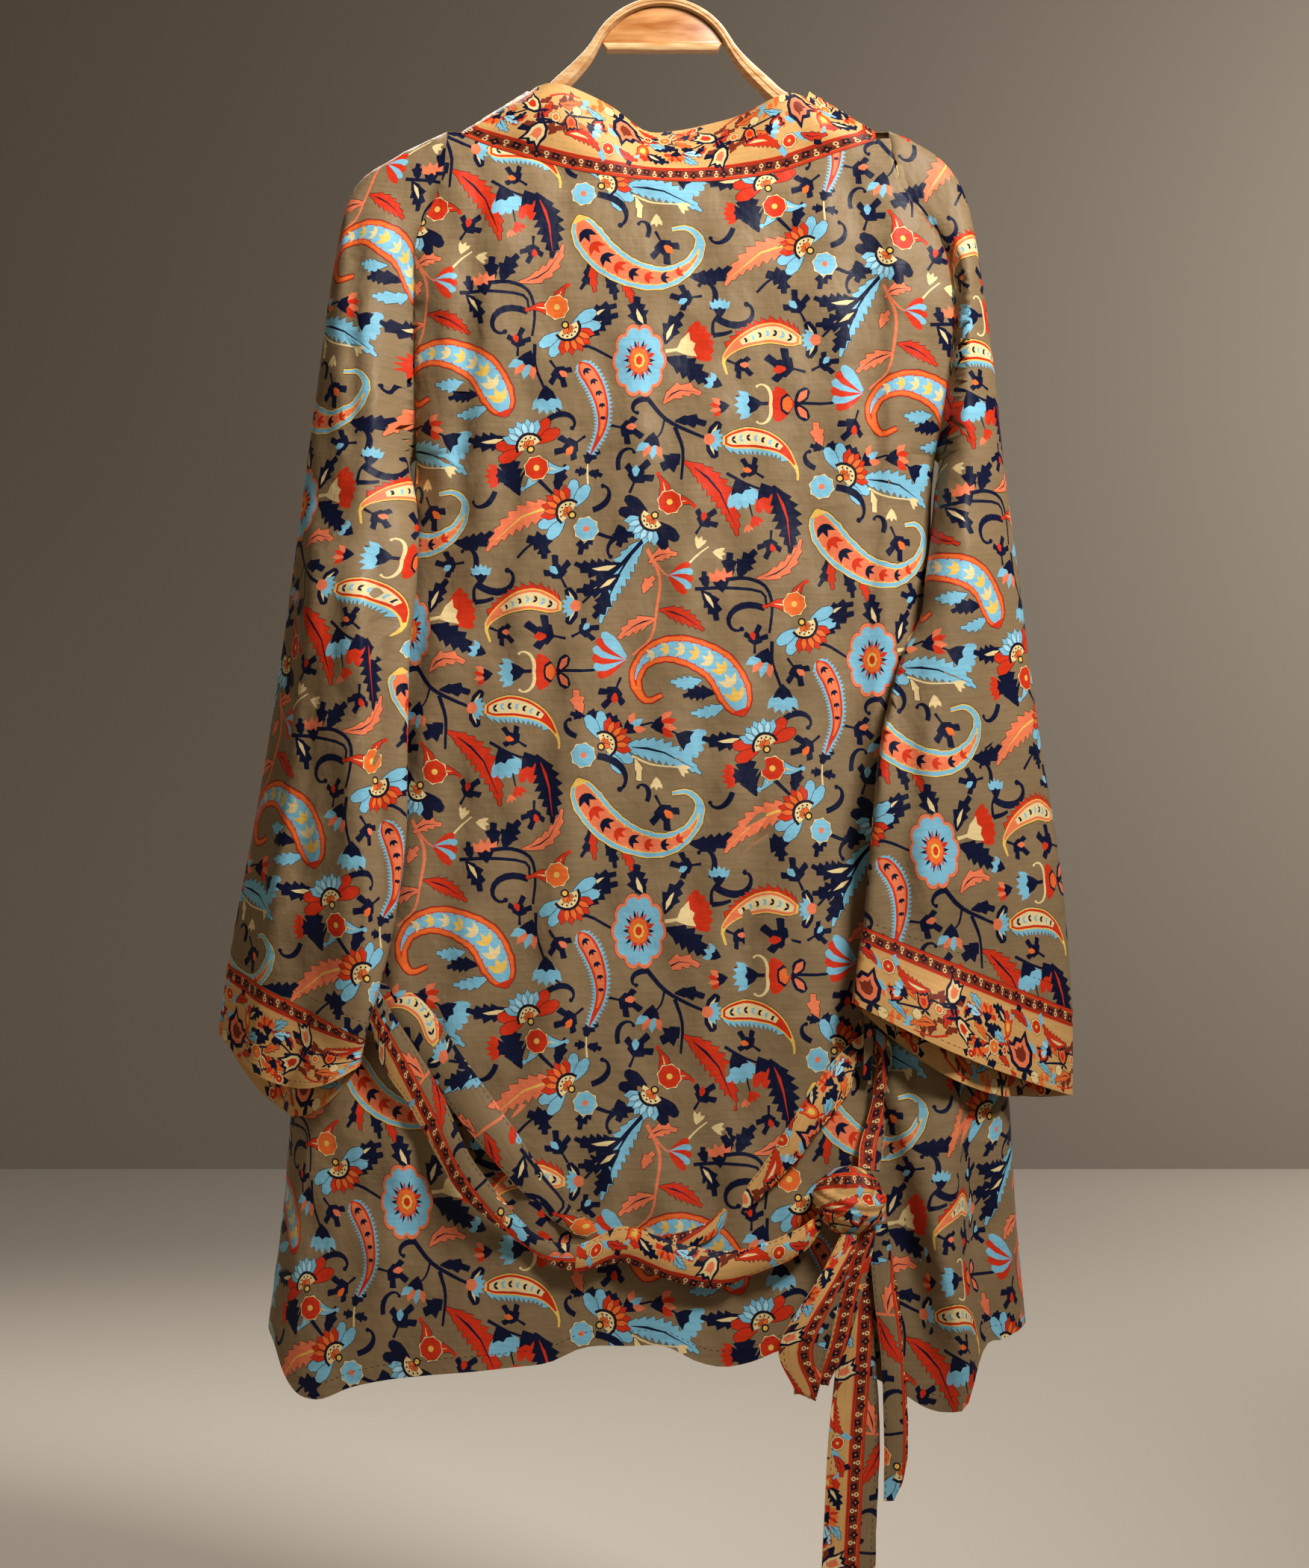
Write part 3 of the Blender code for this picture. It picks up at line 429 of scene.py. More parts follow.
def back_panel_grid():
    """Points of the back: rows from neckline to hem, columns from left to right."""
    angle = np.linspace(0, math.pi, BACK_COLUMNS + 1)
    centre, half = section(SECTIONS["height"][0])
    top = smooth(NECKLINE["x"], NECKLINE["height"], centre + half * np.cos(angle))
    top[0] = top[-1] = SECTIONS["height"][0]
    centre, half = section(-1060.0)
    hem = smooth(BACK_HEM["x"], BACK_HEM["height"], centre + half * np.cos(angle))
    z = row_heights(top[None, :], hem[None, :])
    centre, half = section(z)
    x = centre + half * np.cos(angle)
    return np.dstack([x, body_depth(x, z, "back"), z])


def front_panel_grid(side):
    """Points of one front: rows from shoulder to hem, columns from side to front edge."""
    share = np.linspace(0, 1, FRONT_COLUMNS + 1)
    sign = 1 if side == "left" else -1
    top = np.full(len(share), SECTIONS["height"][0])
    edge = sign * column(FRONT_EDGE, side, -1045.0)
    reach = sign * column(SECTIONS, side, -1045.0)
    hem = smooth(FRONT_HEM["x"], FRONT_HEM["height"], sign * (reach + (edge - reach) * share))
    z = row_heights(top[None, :], hem[None, :])
    centre, half = section(z)
    last = np.arccos(np.clip(sign * (column(FRONT_EDGE, side, z) - centre) / half, -1, 1))
    x = centre + sign * half * np.cos(last * share)
    even = centre + sign * half * (1 + (np.cos(last) - 1) * share)
    x += (even - x) * taper(z, 0, EVEN_FOOT)
    return np.dstack([x, body_depth(x, z, "front"), z])


def front_band(side, seam):
    """Points of the neckband beside one front, from its seam to its free edge."""
    across = np.linspace(0, 1, BAND_COLUMNS + 1)[None, :, None]
    sign = 1 if side == "left" else -1
    z = seam[:, 2]
    lean = np.radians(column(BAND_FRONT, "lean", z))
    free_x = seam[:, 0] - sign * BAND_WIDTH * np.cos(lean)
    free = np.column_stack([free_x, column(BAND_FRONT, "free_y", z), z + BAND_WIDTH * np.sin(lean)])
    return seam[:, None] + (free - seam)[:, None] * across


def neckband_grid(back, fronts):
    """Points of the neckband: stations along its seam, columns from seam to free edge."""
    across = np.linspace(0, 1, BAND_COLUMNS + 1)[None, :, None]
    seam = back[0, SHOULDER_COLUMNS:-SHOULDER_COLUMNS]
    free = np.column_stack([smooth(BAND_BACK["seam_x"], BAND_BACK[name], seam[:, 0])
                            for name in ("free_x", "free_y", "free_z")])
    bulge = smooth(BAND_BACK["seam_x"], BAND_BACK["bulge"], seam[:, 0])
    behind = seam[:, None] + (free - seam)[:, None] * across
    behind[:, :, 1] += bulge[:, None] * np.sin(math.pi * across[0, :, 0])
    left, right = (front_band(side, fronts[side][:, -1]) for side in SIDES)
    return np.vstack([left[::-1], behind, right])


def armhole_ring(side, back, front):
    """Seam points of an armhole, from the shoulder down the back and up the front."""
    rows = ARMHOLE_ROWS + 1
    down = back[:rows, 0 if side == "left" else -1]
    up = front[:rows, 0][::-1]
    return np.vstack([down, up[1:-1]])


def ring(outer, inner, near, far, count):
    """A closed section between two points, bulging near (+Y) and far (-Y)."""
    angle = np.arange(count) / count * 2 * math.pi
    middle, arm = (outer + inner) / 2, (outer - inner) / 2
    bulge = np.sin(angle)
    thick = np.where(bulge > 0, near, far) * np.sign(bulge) * np.abs(bulge) ** 0.8
    points = middle + np.outer(np.cos(angle), arm)
    points[:, 1] += thick
    return points


def near_wall(count):
    """0 to 1 across a ring's near wall and 0 on its far wall."""
    bulge = np.sin(np.arange(count) / count * 2 * math.pi)
    return np.sqrt(np.clip(bulge, 0, 1))


def clear_of_body(points):
    """Moves a sleeve's ring off the body's back, near wall off far wall."""
    x, y, z = points.T
    centre, reach = section(z)
    outside = column(CLEARANCE, "outside", z)
    share = np.clip((reach + outside - np.abs(x - centre)) / outside, 0, 1)
    share *= np.clip((UNDERARM - 10 - z) / 50, 0, 1)
    behind = body_depth(x, z, "back") + column(CLEARANCE, "behind", z)
    limit = -FORWARD + (behind + FORWARD) * share * share * (3 - 2 * share)
    lifted = np.maximum(y, limit)
    across_from = lifted[-np.arange(len(points)) % len(points)]
    near = near_wall(len(points))
    lifted = np.where(near > 0, np.maximum(lifted, across_from + PLIES_APART * near), lifted)
    return np.column_stack([x, lifted, z])


def fold_sleeve(side, points):
    """Lifts a ring's near wall by the sleeve's folds."""
    lift = near_wall(len(points)) * fold_lift(SLEEVE_FOLDS[side], points[:, 0], points[:, 2])
    return points + lift[:, None] * (0, 1, 0)


def sleeve_grid(side, seam):
    """Points of a sleeve: rings from the armhole to the cuff seam."""
    rows = SLEEVES[side]
    count = len(seam)
    stations = SLEEVE_ROWS - FINE + 1
    values = np.array(along(rows, STATIONS.split(), stations)).T
    armhole_shape = seam - ring(seam[0], seam[ARMHOLE_ROWS], ARMHOLE_DEPTH, ARMHOLE_DEPTH, count)
    rings = [seam]
    sideways = np.sin(np.arange(count) / count * 2 * math.pi) ** 2
    for k, (ox, oy, oz, ix, iy, iz, near, far, bow) in enumerate(values):
        points = ring(np.array([ox, oy, oz]), np.array([ix, iy, iz]), near, far, count)
        points[:, 0] += (bow if side == "left" else -bow) * sideways
        points += armhole_shape * max(1 - (k + FINE) / SEAM_REACH, 0) ** 1.5
        ring_here = fold_sleeve(side, clear_of_body(points))
        if k == 0:
            rings += [seam + (ring_here - seam) * n / FINE for n in range(1, FINE)]
        rings.append(ring_here)
    return np.array(rings)


def cuff_grid(row, seam):
    """Points of a cuff: from the sleeve's last ring to its own lower edge."""
    edge = {name: values[row] for name, values in CUFF_EDGES.items()}
    outer = np.array([edge["outer_x"], edge["outer_y"], edge["outer_z"]])
    inner = np.array([edge["inner_x"], edge["inner_y"], edge["inner_z"]])
    count = len(seam)
    angle = np.arange(count) / count * 2 * math.pi
    bulge = np.sin(angle)
    line = (seam[0] + seam[count // 2]) / 2
    relief = seam - line - np.outer(np.cos(angle), (seam[0] - seam[count // 2]) / 2)
    end = (outer + inner) / 2 + np.outer(np.cos(angle), (outer - inner) / 2) + relief
    end[:, 2] -= np.where(bulge > 0, edge["near_drop"], edge["far_drop"]) * bulge ** 2
    rings = [seam]
    for share in np.arange(1, CUFF_ROWS + 1) / CUFF_ROWS:
        rings.append(clear_of_body(seam + (end - seam) * share))
    return np.array(rings)


def grid_normals(grid, closed):
    """Unit normals of a grid of points, closed round its columns or open."""
    if closed:
        wrapped = np.concatenate([grid[:, -1:], grid, grid[:, :1]], axis=1)
        across = (wrapped[:, 2:] - wrapped[:, :-2]) / 2
    else:
        across = np.gradient(grid, axis=1)
    down = np.gradient(grid, axis=0)
    normals = np.cross(across, down)
    return normals / np.maximum(np.linalg.norm(normals, axis=2, keepdims=True), TINY)


def share_normals(*edges):
    """Gives the edges that meet at a seam one set of normals."""
    mean = sum(edges)
    length = np.linalg.norm(mean, axis=-1, keepdims=True)
    mean = np.where(length > 0.1, mean / np.maximum(length, 0.1), edges[0])
    for edge in edges:
        edge[:] = mean


def share_seams(normals):
    """Shared normals at every seam of the robe."""
    rows, length = ARMHOLE_ROWS + 1, ARMHOLE_ROWS + SKIRT_ROWS + 1
    back, band = normals["back_panel"], normals["neckband"]
    band_parts = {"left": band[length - 1::-1, 0], "right": band[-length:, 0]}
    for side, edge in (("left", 0), ("right", -1)):
        sleeve, front = normals["sleeve_" + side], normals["front_" + side]
        share_normals(back[rows:, edge], front[rows:, 0])
        share_normals(back[:rows, edge], sleeve[0, :rows])
        share_normals(sleeve[0, :rows - 1:-1], front[1:rows - 1, 0])
        share_normals(back[rows - 1, edge], front[rows - 1, 0], sleeve[0, rows - 1])
        share_normals(back[0, edge], front[0, 0], sleeve[0, 0])
        share_normals(sleeve[-1], normals["cuff_" + side][0])
        share_normals(front[:, -1], band_parts[side])
    share_normals(back[0, SHOULDER_COLUMNS:-SHOULDER_COLUMNS], band[length:-length, 0])


def pull_back(edge, neighbour):
    """Moves a seam's points into their own piece by half the seam's gap."""
    return edge + unit(neighbour - edge) * (SEAM_GAP / 2)


def on_back(x, z, out):
    """Points at a distance off the robe's back, or hanging free below its hem."""
    x, z, out = np.broadcast_arrays(np.asarray(x, float), z, out)
    held = np.maximum(z, smooth(BACK_HEM["x"], BACK_HEM["height"], x) + HEM_HOLD)
    step = 2.0
    slope_x = (body_depth(x + step, held, "back") - body_depth(x - step, held, "back")) / (2 * step)
    slope_z = (body_depth(x, held + step, "back") - body_depth(x, held - step, "back")) / (2 * step)
    slope_z = np.where(z < held, 0, slope_z)
    reach = out / np.sqrt(1 + slope_x ** 2 + slope_z ** 2)
    y = body_depth(x, held, "back")
    return np.stack([x - slope_x * reach, y + reach, z - slope_z * reach], axis=-1)


def ribbon_grid(rows):
    """Points of a flat stretch of sash between its two edges."""
    steps = RIBBON_ROWS * (len(rows["out"]) - 1) + 1
    x_a, z_a, x_b, z_b, out, bulge = along(rows, EDGES.split(), steps)
    across = np.linspace(0, 1, RIBBON_COLUMNS + 1)[None, :]
    x = x_a[:, None] + (x_b - x_a)[:, None] * across
    z = z_a[:, None] + (z_b - z_a)[:, None] * across
    lift = out[:, None] + bulge[:, None] * np.sin(math.pi * across)
    return on_back(x, z, lift)


# The print. Colours are sRGB.
PALETTE = {
    "ground": "#8a7354",
    "navy": "#0b1230",
    "red": "#d23417",
    "orange": "#ee7030",
    "salmon": "#ee7d55",
    "blue": "#80bfda",
    "pale": "#a8dcf2",
    "yellow": "#f0c45f",
    "cream": "#ecd39a",
    "line": "#2c191a",
    "border": "#d6a566",
    "band": "#7c2f1c",
    "dark": "#1c1420",
}
COLOUR_NAMES = list(PALETTE)

# The silk's repeat: columns a pitch apart, each dropped by a half repeat, round a rosette
PITCH = 175.0
REPEAT = 415.0
DROP = 219.0
OUTLINE = 0.45         # width of the dark line round the coloured motifs
NAVY_GROWTH = 1.2      # how much fuller the navy leaves are than the coloured ones
SLIM_PETAL = 6.5       # a petal narrower than this is drawn with fewer points
STITCH = 2.4           # length of a stitch and of the gap after it
STITCH_HALF = 0.24     # half the width of a stitch

LEAVES = [  # base, tip, width, bend, teeth, fill, rib
    (-36, -77, -43, -53, 6, 0.4, 4, "navy", None),
    (-33, -75, -32, -51, 6, -0.2, 4, "red", None),
    (-25, -65, -17, -45, 7, 0.3, 4, "navy", None),
    (-14, -62, -5, -43, 7, 0.3, 4, "red", None),
    (35, -64, 73, -72, 10, -0.5, 6, "navy", None),
    (-77, -127, -64, -77, 17, 0.3, 8, "navy", "red"),
    (-88, -59, -56, -88, 10, -0.7, 6, "salmon", "navy"),
    (-37, -29, -16, -41, 9, 0.4, 4, "navy", "cream"),
    (-42, -14, -15, -34, 12, 0.5, 5, "navy", "cream"),
    (5, -25, -1, -48, 12, 0.5, 4, "navy", "cream"),
    (19, -12, 32, -36, 11, 0.3, 4, "navy", "cream"),
    (19, -2, 52, 19, 14, 0.3, 6, "navy", None),
    (125, -87, 63, -56, 17, -0.6, 10, "salmon", "yellow"),
    (88, -97, 79, -134, 14, 0.3, 6, "navy", None),
    (18, 32, 45, 25, 11, 0.9, 4, "salmon", "navy"),
    (26, 45, 49, 47, 8, 0.3, 3, "navy", None),
    (30, 69, 16, 79, 12, 0.2, 3, "navy", None),
    (33, 75, 72, 129, 17, 0.5, 11, "red", "navy"),
    (-97, 56, -128, 57, 11, 0.4, 5, "navy", "cream"),
    (-40, 75, -29, 67, 6, 0.3, 3, "navy", None),
    (-38, 81, -47, 81, 6, 0.3, 3, "navy", None),
    (-38, 83, -27, 85, 6, 0.3, 3, "navy", None),
    (-38, 77, -37, 66, 6, 0.1, 3, "navy", None),
    (5, 131, -28, 193, 16, -0.3, 11, "blue", "navy"),
    (-13, 149, -47, 149, 12, 0.5, 6, "navy", "cream"),
    (-14, 157, -46, 169, 12, 0.4, 6, "navy", "cream"),
    (-24, 167, -33, 189, 10, 0.4, 4, "navy", None),
    (7, 149, 28, 143, 9, 0.6, 4, "salmon", "navy"),
    (3, 171, 11, 159, 8, 0.4, 3, "salmon", None),
    (13, 190, -15, 204, 11, -0.4, 5, "salmon", "navy"),
    (15, 183, 48, 198, 11, 0.3, 7, "red", "navy"),
    (46, 234, 23, 235, 10, 0.3, 5, "blue", None),
    (56, 244, 32, 246, 9, -0.3, 5, "navy", None),
    (64, 252, 38, 258, 9, 0.3, 5, "blue", None),
    (-12, 268, -23, 258, 8, 0.4, 3, "navy", None),
    (-41, 258, -46, 241, 10, 0.3, 3, "salmon", None),
    (-40, 260, -50, 258, 6, 0.2, 3, "navy", None),
    (-39, 260, -29, 258, 6, 0.2, 3, "navy", None),
    (-13, 283, 46, 302, 17, 0.4, 11, "blue", "navy"),
    (-63, 132, -82, 131, 11, 0.3, 3, "navy", None),
    (-71, 134, -69, 146, 8, 0.2, 3, "navy", None),
    (68, 160, 67, 141, 9, 0.2, 3, "navy", None),
    (74, 160, 86, 140, 11, 0.3, 4, "navy", None),
    (46, 169, 58, 191, 10, 0.4, 4, "navy", "cream"),
    (51, 167, 48, 155, 7, 0.3, 3, "navy", None),
    (-30, 126, -43, 143, 9, -0.6, 4, "navy", "cream"),
    (-15, 121, -15, 137, 11, 0.5, 4, "navy", None),
    (-60, 97, -53, 77, 8, 0.3, 3, "navy", None),
]
SCROLLS = [  # base, far side of the curl, width, how far it turns
    (-31, -126, -12, -103, 5.6, 2.6),
    (6, -93, 1, -105, 3.8, -3.2),
    (53, -38, 46, -58, 4.3, -3.0),
    (56, -32, 83, -38, 5.6, -3.6),
    (69, -100, 53, -91, 4.3, 2.6),
    (93, 182, 67, 194, 5.1, -4.2),
    (-67, 43, -48, 47, 4.7, 3.2),
    (7, 29, -4, 38, 4.3, -3.2),
    (-15, 81, -5, 66, 3.8, 3.0),
    (-34, 110, -24, 93, 4.7, -2.8),
    (0, 129, -22, 143, 4.7, -2.6),
    (-46, 275, -52, 263, 4.3, 2.8),
]
FANS = [  # base, middle of the rim, petals, fill, second fill, calyx
    (75, -112, 61, -111, 5, "red", "red", "navy"),
    (32, -10, 54, -17, 6, "red", "red", "cream"),
    (-68, 22, -68, 40, 5, "blue", "blue", "navy"),
    (-81, -4, -89, 12, 4, "salmon", "blue", "navy"),
    (10, 57, 6, 73, 4, "salmon", "blue", "navy"),
    (59, -35, 59, -47, 5, "blue", "blue", "navy"),
    (-117, 214, -127, 209, 3, "blue", "blue", "navy"),
    (-112, 230, -124, 231, 4, "red", "salmon", "navy"),
    (-89, 228, -106, 229, 5, "blue", "blue", "navy"),
    (-10, 218, -35, 215, 6, "red", "blue", None),
    (22, 159, 40, 161, 5, "red", "blue", None),
    (73, 91, 79, 109, 5, "blue", "blue", "navy"),
    (92, 94, 99, 112, 4, "red", "red", "navy"),
    (-9, 270, 3, 262, 3, "salmon", "blue", "navy"),
    (12, 267, 28, 266, 4, "salmon", "red", "navy"),
    (31, 275, 48, 285, 5, "blue", "blue", "navy"),
    (61, 167, 60, 152, 4, "salmon", "salmon", "navy"),
    (83, 115, 88, 123, 3, "red", "red", None),
    (79, 121, 81, 127, 3, "salmon", "salmon", None),
]
CLUSTERS = [  # centre, angle, main petals, side petals, curled petals, small flower
    (-53, -25, 58, "red", "blue", "red", "orange"),
    (-81, 63, -117, "blue", "red", "blue", "red"),
    (10, 116, 130, "blue", "navy", "red", "red"),
    (-26, 281, -33, "red", "blue", None, "blue"),
    (-51, 112, -143, "red", "blue", None, "blue"),
]
STEMS = [  # points of each stem, its width and colour
    (((-111, -58), (-96, -59), (-82, -53), (-77, -38), (-79, -19)), 2.1, "navy"),
    (((-77, -13), (-77, 2), (-72, 15), (-68, 24)), 1.9, "navy"),
    (((-77, 2), (-82, -2)), 1.3, "navy"),
    (((-68, 32), (-62, 34), (-56, 40)), 1.3, "navy"),
    (((-51, -9), (-38, -11), (-20, -2)), 2.1, "navy"),
    (((5, 27), (19, 43), (36, 52), (51, 58)), 2.4, "navy"),
    (((19, 41), (16, 53), (10, 59)), 1.3, "navy"),
    (((26, 49), (32, 66), (31, 88)), 2.1, "navy"),
    (((64, 83), (79, 91), (94, 96)), 1.7, "navy"),
    (((77, 92), (81, 107), (83, 115)), 1.1, "navy"),
    (((9, 126), (-13, 150), (-41, 178)), 2.1, "navy"),
    (((6, 139), (15, 160), (13, 182), (9, 203), (-5, 216)), 1.7, "salmon"),
    (((9, 145), (19, 157), (26, 159)), 1.1, "salmon"),
    (((-94, 228), (-64, 227), (-34, 227), (-30, 220)), 1.9, "navy"),
    (((-41, 260), (-13, 272), (9, 265), (31, 275)), 1.5, "navy"),
    (((-26, 274), (-40, 261)), 1.5, "navy"),
    (((-34, 126), (-17, 131), (2, 128)), 2.1, "navy"),
    (((-73, 88), (-65, 96), (-56, 105)), 2.1, "navy"),
    (((41, 168), (64, 167), (90, 170), (94, 182)), 1.9, "navy"),
    (((73, -108), (85, -107), (94, -118)), 1.7, "navy"),
    (((-5, -126), (6, -121), (15, -119), (30, -118)), 1.1, "cream"),
    (((36, 150), (43, 143), (51, 137)), 1.1, "cream"),
    (((54, -19), (54, -28), (58, -35)), 1.9, "navy"),
    (((54, -19), (62, -20), (68, -22)), 2.6, "navy"),
    (((-89, 145), (-81, 137), (-71, 131), (-62, 126)), 1.5, "navy"),
    (((83, 30), (71, 26)), 1.3, "navy"),
    (((-37, 95), (-38, 83), (-38, 76)), 1.1, "cream"),
    (((19, -7), (26, -8), (32, -10)), 1.9, "cream"),
]
SPRIGS = [  # middle, reach, direction in degrees, colour of the bud
    (106, 4, 16, 200, "red"),
    (18, 330, 14, 70, "orange"),
    (174, 304, 14, 300, "blue"),
    (156, 48, 13, 120, "red"),
    (166, 270, 13, 20, "salmon"),
    (116, 374, 13, 250, "blue"),
    (124, 282, 13, 150, "orange"),
    (48, 118, 12, 310, "red"),
    (116, 228, 12, 60, "salmon"),
    (34, 368, 12, 180, "blue"),
    (96, 136, 11, 100, "red"),
    (136, 2, 11, 340, "blue"),
    (74, 4, 11, 30, "salmon"),
    (82, 80, 11, 220, "orange"),
    (86, 204, 11, 280, "red"),
]
PAISLEYS = [  # route from head to hook, half width, layers from the rim in, spurs
    (((-45, -110), (-38, -94), (-24, -77), (-4, -65), (19, -62), (38, -73), (45, -90), (36, -100),
      (24, -99)), 12, ("yellow", "blue", "yellow", "salmon"), 9),
    (((77, 260), (69, 241), (58, 224), (38, 214), (19, 212), (3, 220), (-3, 235), (5, 249),
      (17, 245)), 13, ("red", "orange", "red", "blue"), 9),
]
SPRIG_LEAVES = [  # base along the stem, place and side of the tip, bend
    (-0.3, 0.95, 0.15, 0.3),
    (-0.45, 0.3, 0.8, 0.5),
    (-0.45, 0.2, -0.8, -0.5),
]
SLIM_PAISLEYS = [  # route from head to hook, half width
    (((-44, 1), (-34, 15), (-28, 32), (-28, 49), (-36, 69)), 6.2),
]
BUD_PAISLEYS = [  # route from the flower to the hook, half width, outer petals, body
    (((51, 58), (64, 59), (83, 57), (103, 64), (115, 79), (116, 88)), 8, "blue", "red"),
    (((-46, 180), (-60, 180), (-79, 175), (-100, 182), (-113, 194), (-111, 206)), 8, "red", "salmon"),
]
CARNATIONS = [(-62, 228)]
CREAM_BUDS = [  # base, direction
    (13, -109, 1.6),
    (30, -118, 0.6),
    (43, 137, -1.2),
    (56, 141, 0.2),
]
CREAM_LEAVES = [(-3, -124, 0, -108, 6, 0.4, 2, "cream", None)]
ROSETTES = [(0, 0)]
ROSETTE_HALF = (20, 28)
HALF_DISC = [
    (0, -10.5), (4.5, -9.6), (8, -6.8), (10.2, -2.8), (10.6, 0),
    (10.2, 2.8), (8, 6.8), (4.5, 9.6), (0, 10.5), (-1.5, 0),
]


def linear(code):
    """A linear colour from an sRGB code."""
    value = np.array([int(code[k:k + 2], 16) for k in (1, 3, 5)]) / 255
    return np.where(value <= 0.04045, value / 12.92, ((value + 0.055) / 1.055) ** 2.4)


def turned(points, x, y, angle, size=1.0):
    """Points turned by an angle, scaled and moved to (x, y)."""
    c, s = math.cos(angle) * size, math.sin(angle) * size
    points = np.asarray(points, float)
    return np.column_stack([points[:, 0] * c - points[:, 1] * s + x,
                            points[:, 0] * s + points[:, 1] * c + y])


def between(points, x0, y0, x1, y1):
    """Points drawn on the line from (0, 0) to (1, 0), carried to the line between two others."""
    length = math.hypot(x1 - x0, y1 - y0)
    return turned(points, x0, y0, math.atan2(y1 - y0, x1 - x0), length)


def grown(points, by):
    """A closed outline moved outward everywhere."""
    edge = np.roll(points, -1, axis=0) - np.roll(points, 1, axis=0)
    area = np.sum(points[:, 0] * np.roll(points[:, 1], -1) - np.roll(points[:, 0], -1) * points[:, 1])
    normal = np.column_stack([edge[:, 1], -edge[:, 0]]) * np.sign(area)
    return points + normal / np.maximum(np.linalg.norm(normal, axis=1, keepdims=True), TINY) * by


def aimed(points, heading, end):
    """A line turned and scaled so that its point end comes to (1, 0), and its side directions."""
    angle = math.atan2(end[1], end[0])
    heading = heading - angle
    return (turned(points, 0, 0, -angle, 1 / np.linalg.norm(end)),
            np.column_stack([-np.sin(heading), np.cos(heading)]))


def bent_line(bend, count=33):
    """Places, points and side directions of a unit line from (0, 0) to (1, 0) that bends."""
    t = np.linspace(0, 1, count)
    heading = bend * (t - 0.5) * 2
    steps = np.column_stack([np.cos(heading), np.sin(heading)])
    line = np.vstack([[0, 0], np.cumsum((steps[1:] + steps[:-1]) / 2, axis=0)])
    return (t, *aimed(line, heading, line[-1]))


def left_of(line):
    """Unit vectors to the left of a line at its points."""
    heading = np.gradient(line, axis=0)
    return unit(np.column_stack([-heading[:, 1], heading[:, 0]]))


def on_line(line, place):
    """The point at a place along a line, and the line's heading there."""
    t, points, side = line
    x, y, side_x, side_y = (np.interp(place, t, values) for values in (*points.T, *side.T))
    return (x, y), math.atan2(side_y, side_x) - math.pi / 2


def strip(line, left, right):
    """Outline of a strip along a line: rows of (place, half width) up its two sides."""
    t, points, side = line

    def edge(rows, sign):
        """Points of one side of the strip."""
        place, width = np.array(rows, float).T
        out = np.column_stack([np.interp(place, t, points[:, k]) for k in (0, 1)])
        way = np.column_stack([np.interp(place, t, side[:, k]) for k in (0, 1)])
        return out + sign * way * width[:, None]

    return np.vstack([edge(left, 1), edge(right, -1)[::-1]])


def leaf(x0, y0, x1, y1, width, bend, teeth, fill, rib, detail=True):
    """A serrated leaf from its stalk to its tip."""
    line = bent_line(bend)
    half = width / 2 / math.hypot(x1 - x0, y1 - y0)
    if fill == "navy":
        half *= NAVY_GROWTH
    edge = [(0.0, 0.02)]
    for k in range(teeth):
        valley, tip = (k + 0.15) / teeth, (k + 0.95) / teeth
        edge.append((valley, half * math.sin(math.pi * valley ** 0.8) * 0.64 + 0.01))
        edge.append((tip, half * math.sin(math.pi * min(valley + 0.35 / teeth, 1) ** 0.8) * 1.16))
    edge.append((1.0, 0.0))
    shapes = []
    outline = between(strip(line, edge, edge[:-1]), x0, y0, x1, y1)
    if detail and fill != "navy":
        shapes.append((grown(outline, OUTLINE), "line"))
    shapes.append((outline, fill))
    if rib and detail:
        reach, thick = (0.62, 0.16) if rib == "cream" else (0.9, 0.07)
        middle = [(0.12, 0.004), (0.3, half * thick * 1.6), (0.5, half * thick), (reach, 0.002)]
        shapes.append((between(strip(line, middle, middle), x0, y0, x1, y1), rib))
    return shapes


def lobed(radius, lobes, depth, count):
    """A round outline with lobes."""
    angle = np.arange(count) / count * 2 * math.pi
    reach = radius * (1 - depth + depth * np.abs(np.cos(angle * lobes / 2)) ** 0.6)
    return np.column_stack([reach * np.cos(angle), reach * np.sin(angle)])


def dot(x, y, radius, fill, count=8):
    """A plain round spot."""
    return turned(lobed(radius, 1, 0, count), x, y, 0), fill


def petal(reach, width, tip=0.7):
    """A petal from the origin along +x, widest at the share tip of its reach."""
    side = [(0.15, 0.16), (tip * 0.6 * reach, 0.42), (tip * reach, 0.5)]
    if width > SLIM_PETAL:
        side.append((0.93 * reach, 0.3))
    side = np.array(side) * (1, width)
    return np.vstack([side * (1, -1), [(reach, 0)], side[::-1]])


def small_flower(x, y, radius, fill):
    """A flower of eight lobes with a cream rim and a small centre."""
    rows = ((radius + 1.6, 0.14, 16, "line"), (radius + 1.2, 0.14, 16, "cream"), (radius, 0.16, 24, fill))
    shapes = [(turned(lobed(reach, 8, depth, count), x, y, 0.2), colour)
              for reach, depth, count, colour in rows]
    return shapes + [dot(x, y, radius * 0.26, "salmon" if fill == "blue" else "yellow", 9)]


def fan_flower(x0, y0, x1, y1, petals, fill, second, calyx):
    """A half-open flower: petals that spread from a calyx."""
    length, angle = math.hypot(x1 - x0, y1 - y0), math.atan2(y1 - y0, x1 - x0)
    shapes = []
    for k in range(petals):
        turn = (k - (petals - 1) / 2) * 1.7 / petals
        shape = turned(petal(length, length * 0.36, 0.68), x0, y0, angle + turn)
        shapes.append((shape, fill if k % 2 == 0 else second))
    if calyx:
        cup = [(-0.25, 0.05), (0.02, 0.26), (0.34, 0.42), (0.3, 0.16), (0.42, 0.0),
               (0.3, -0.16), (0.34, -0.42), (0.02, -0.26)]
        shapes.append((turned(np.array(cup) * length, x0, y0, angle), calyx))
    return shapes


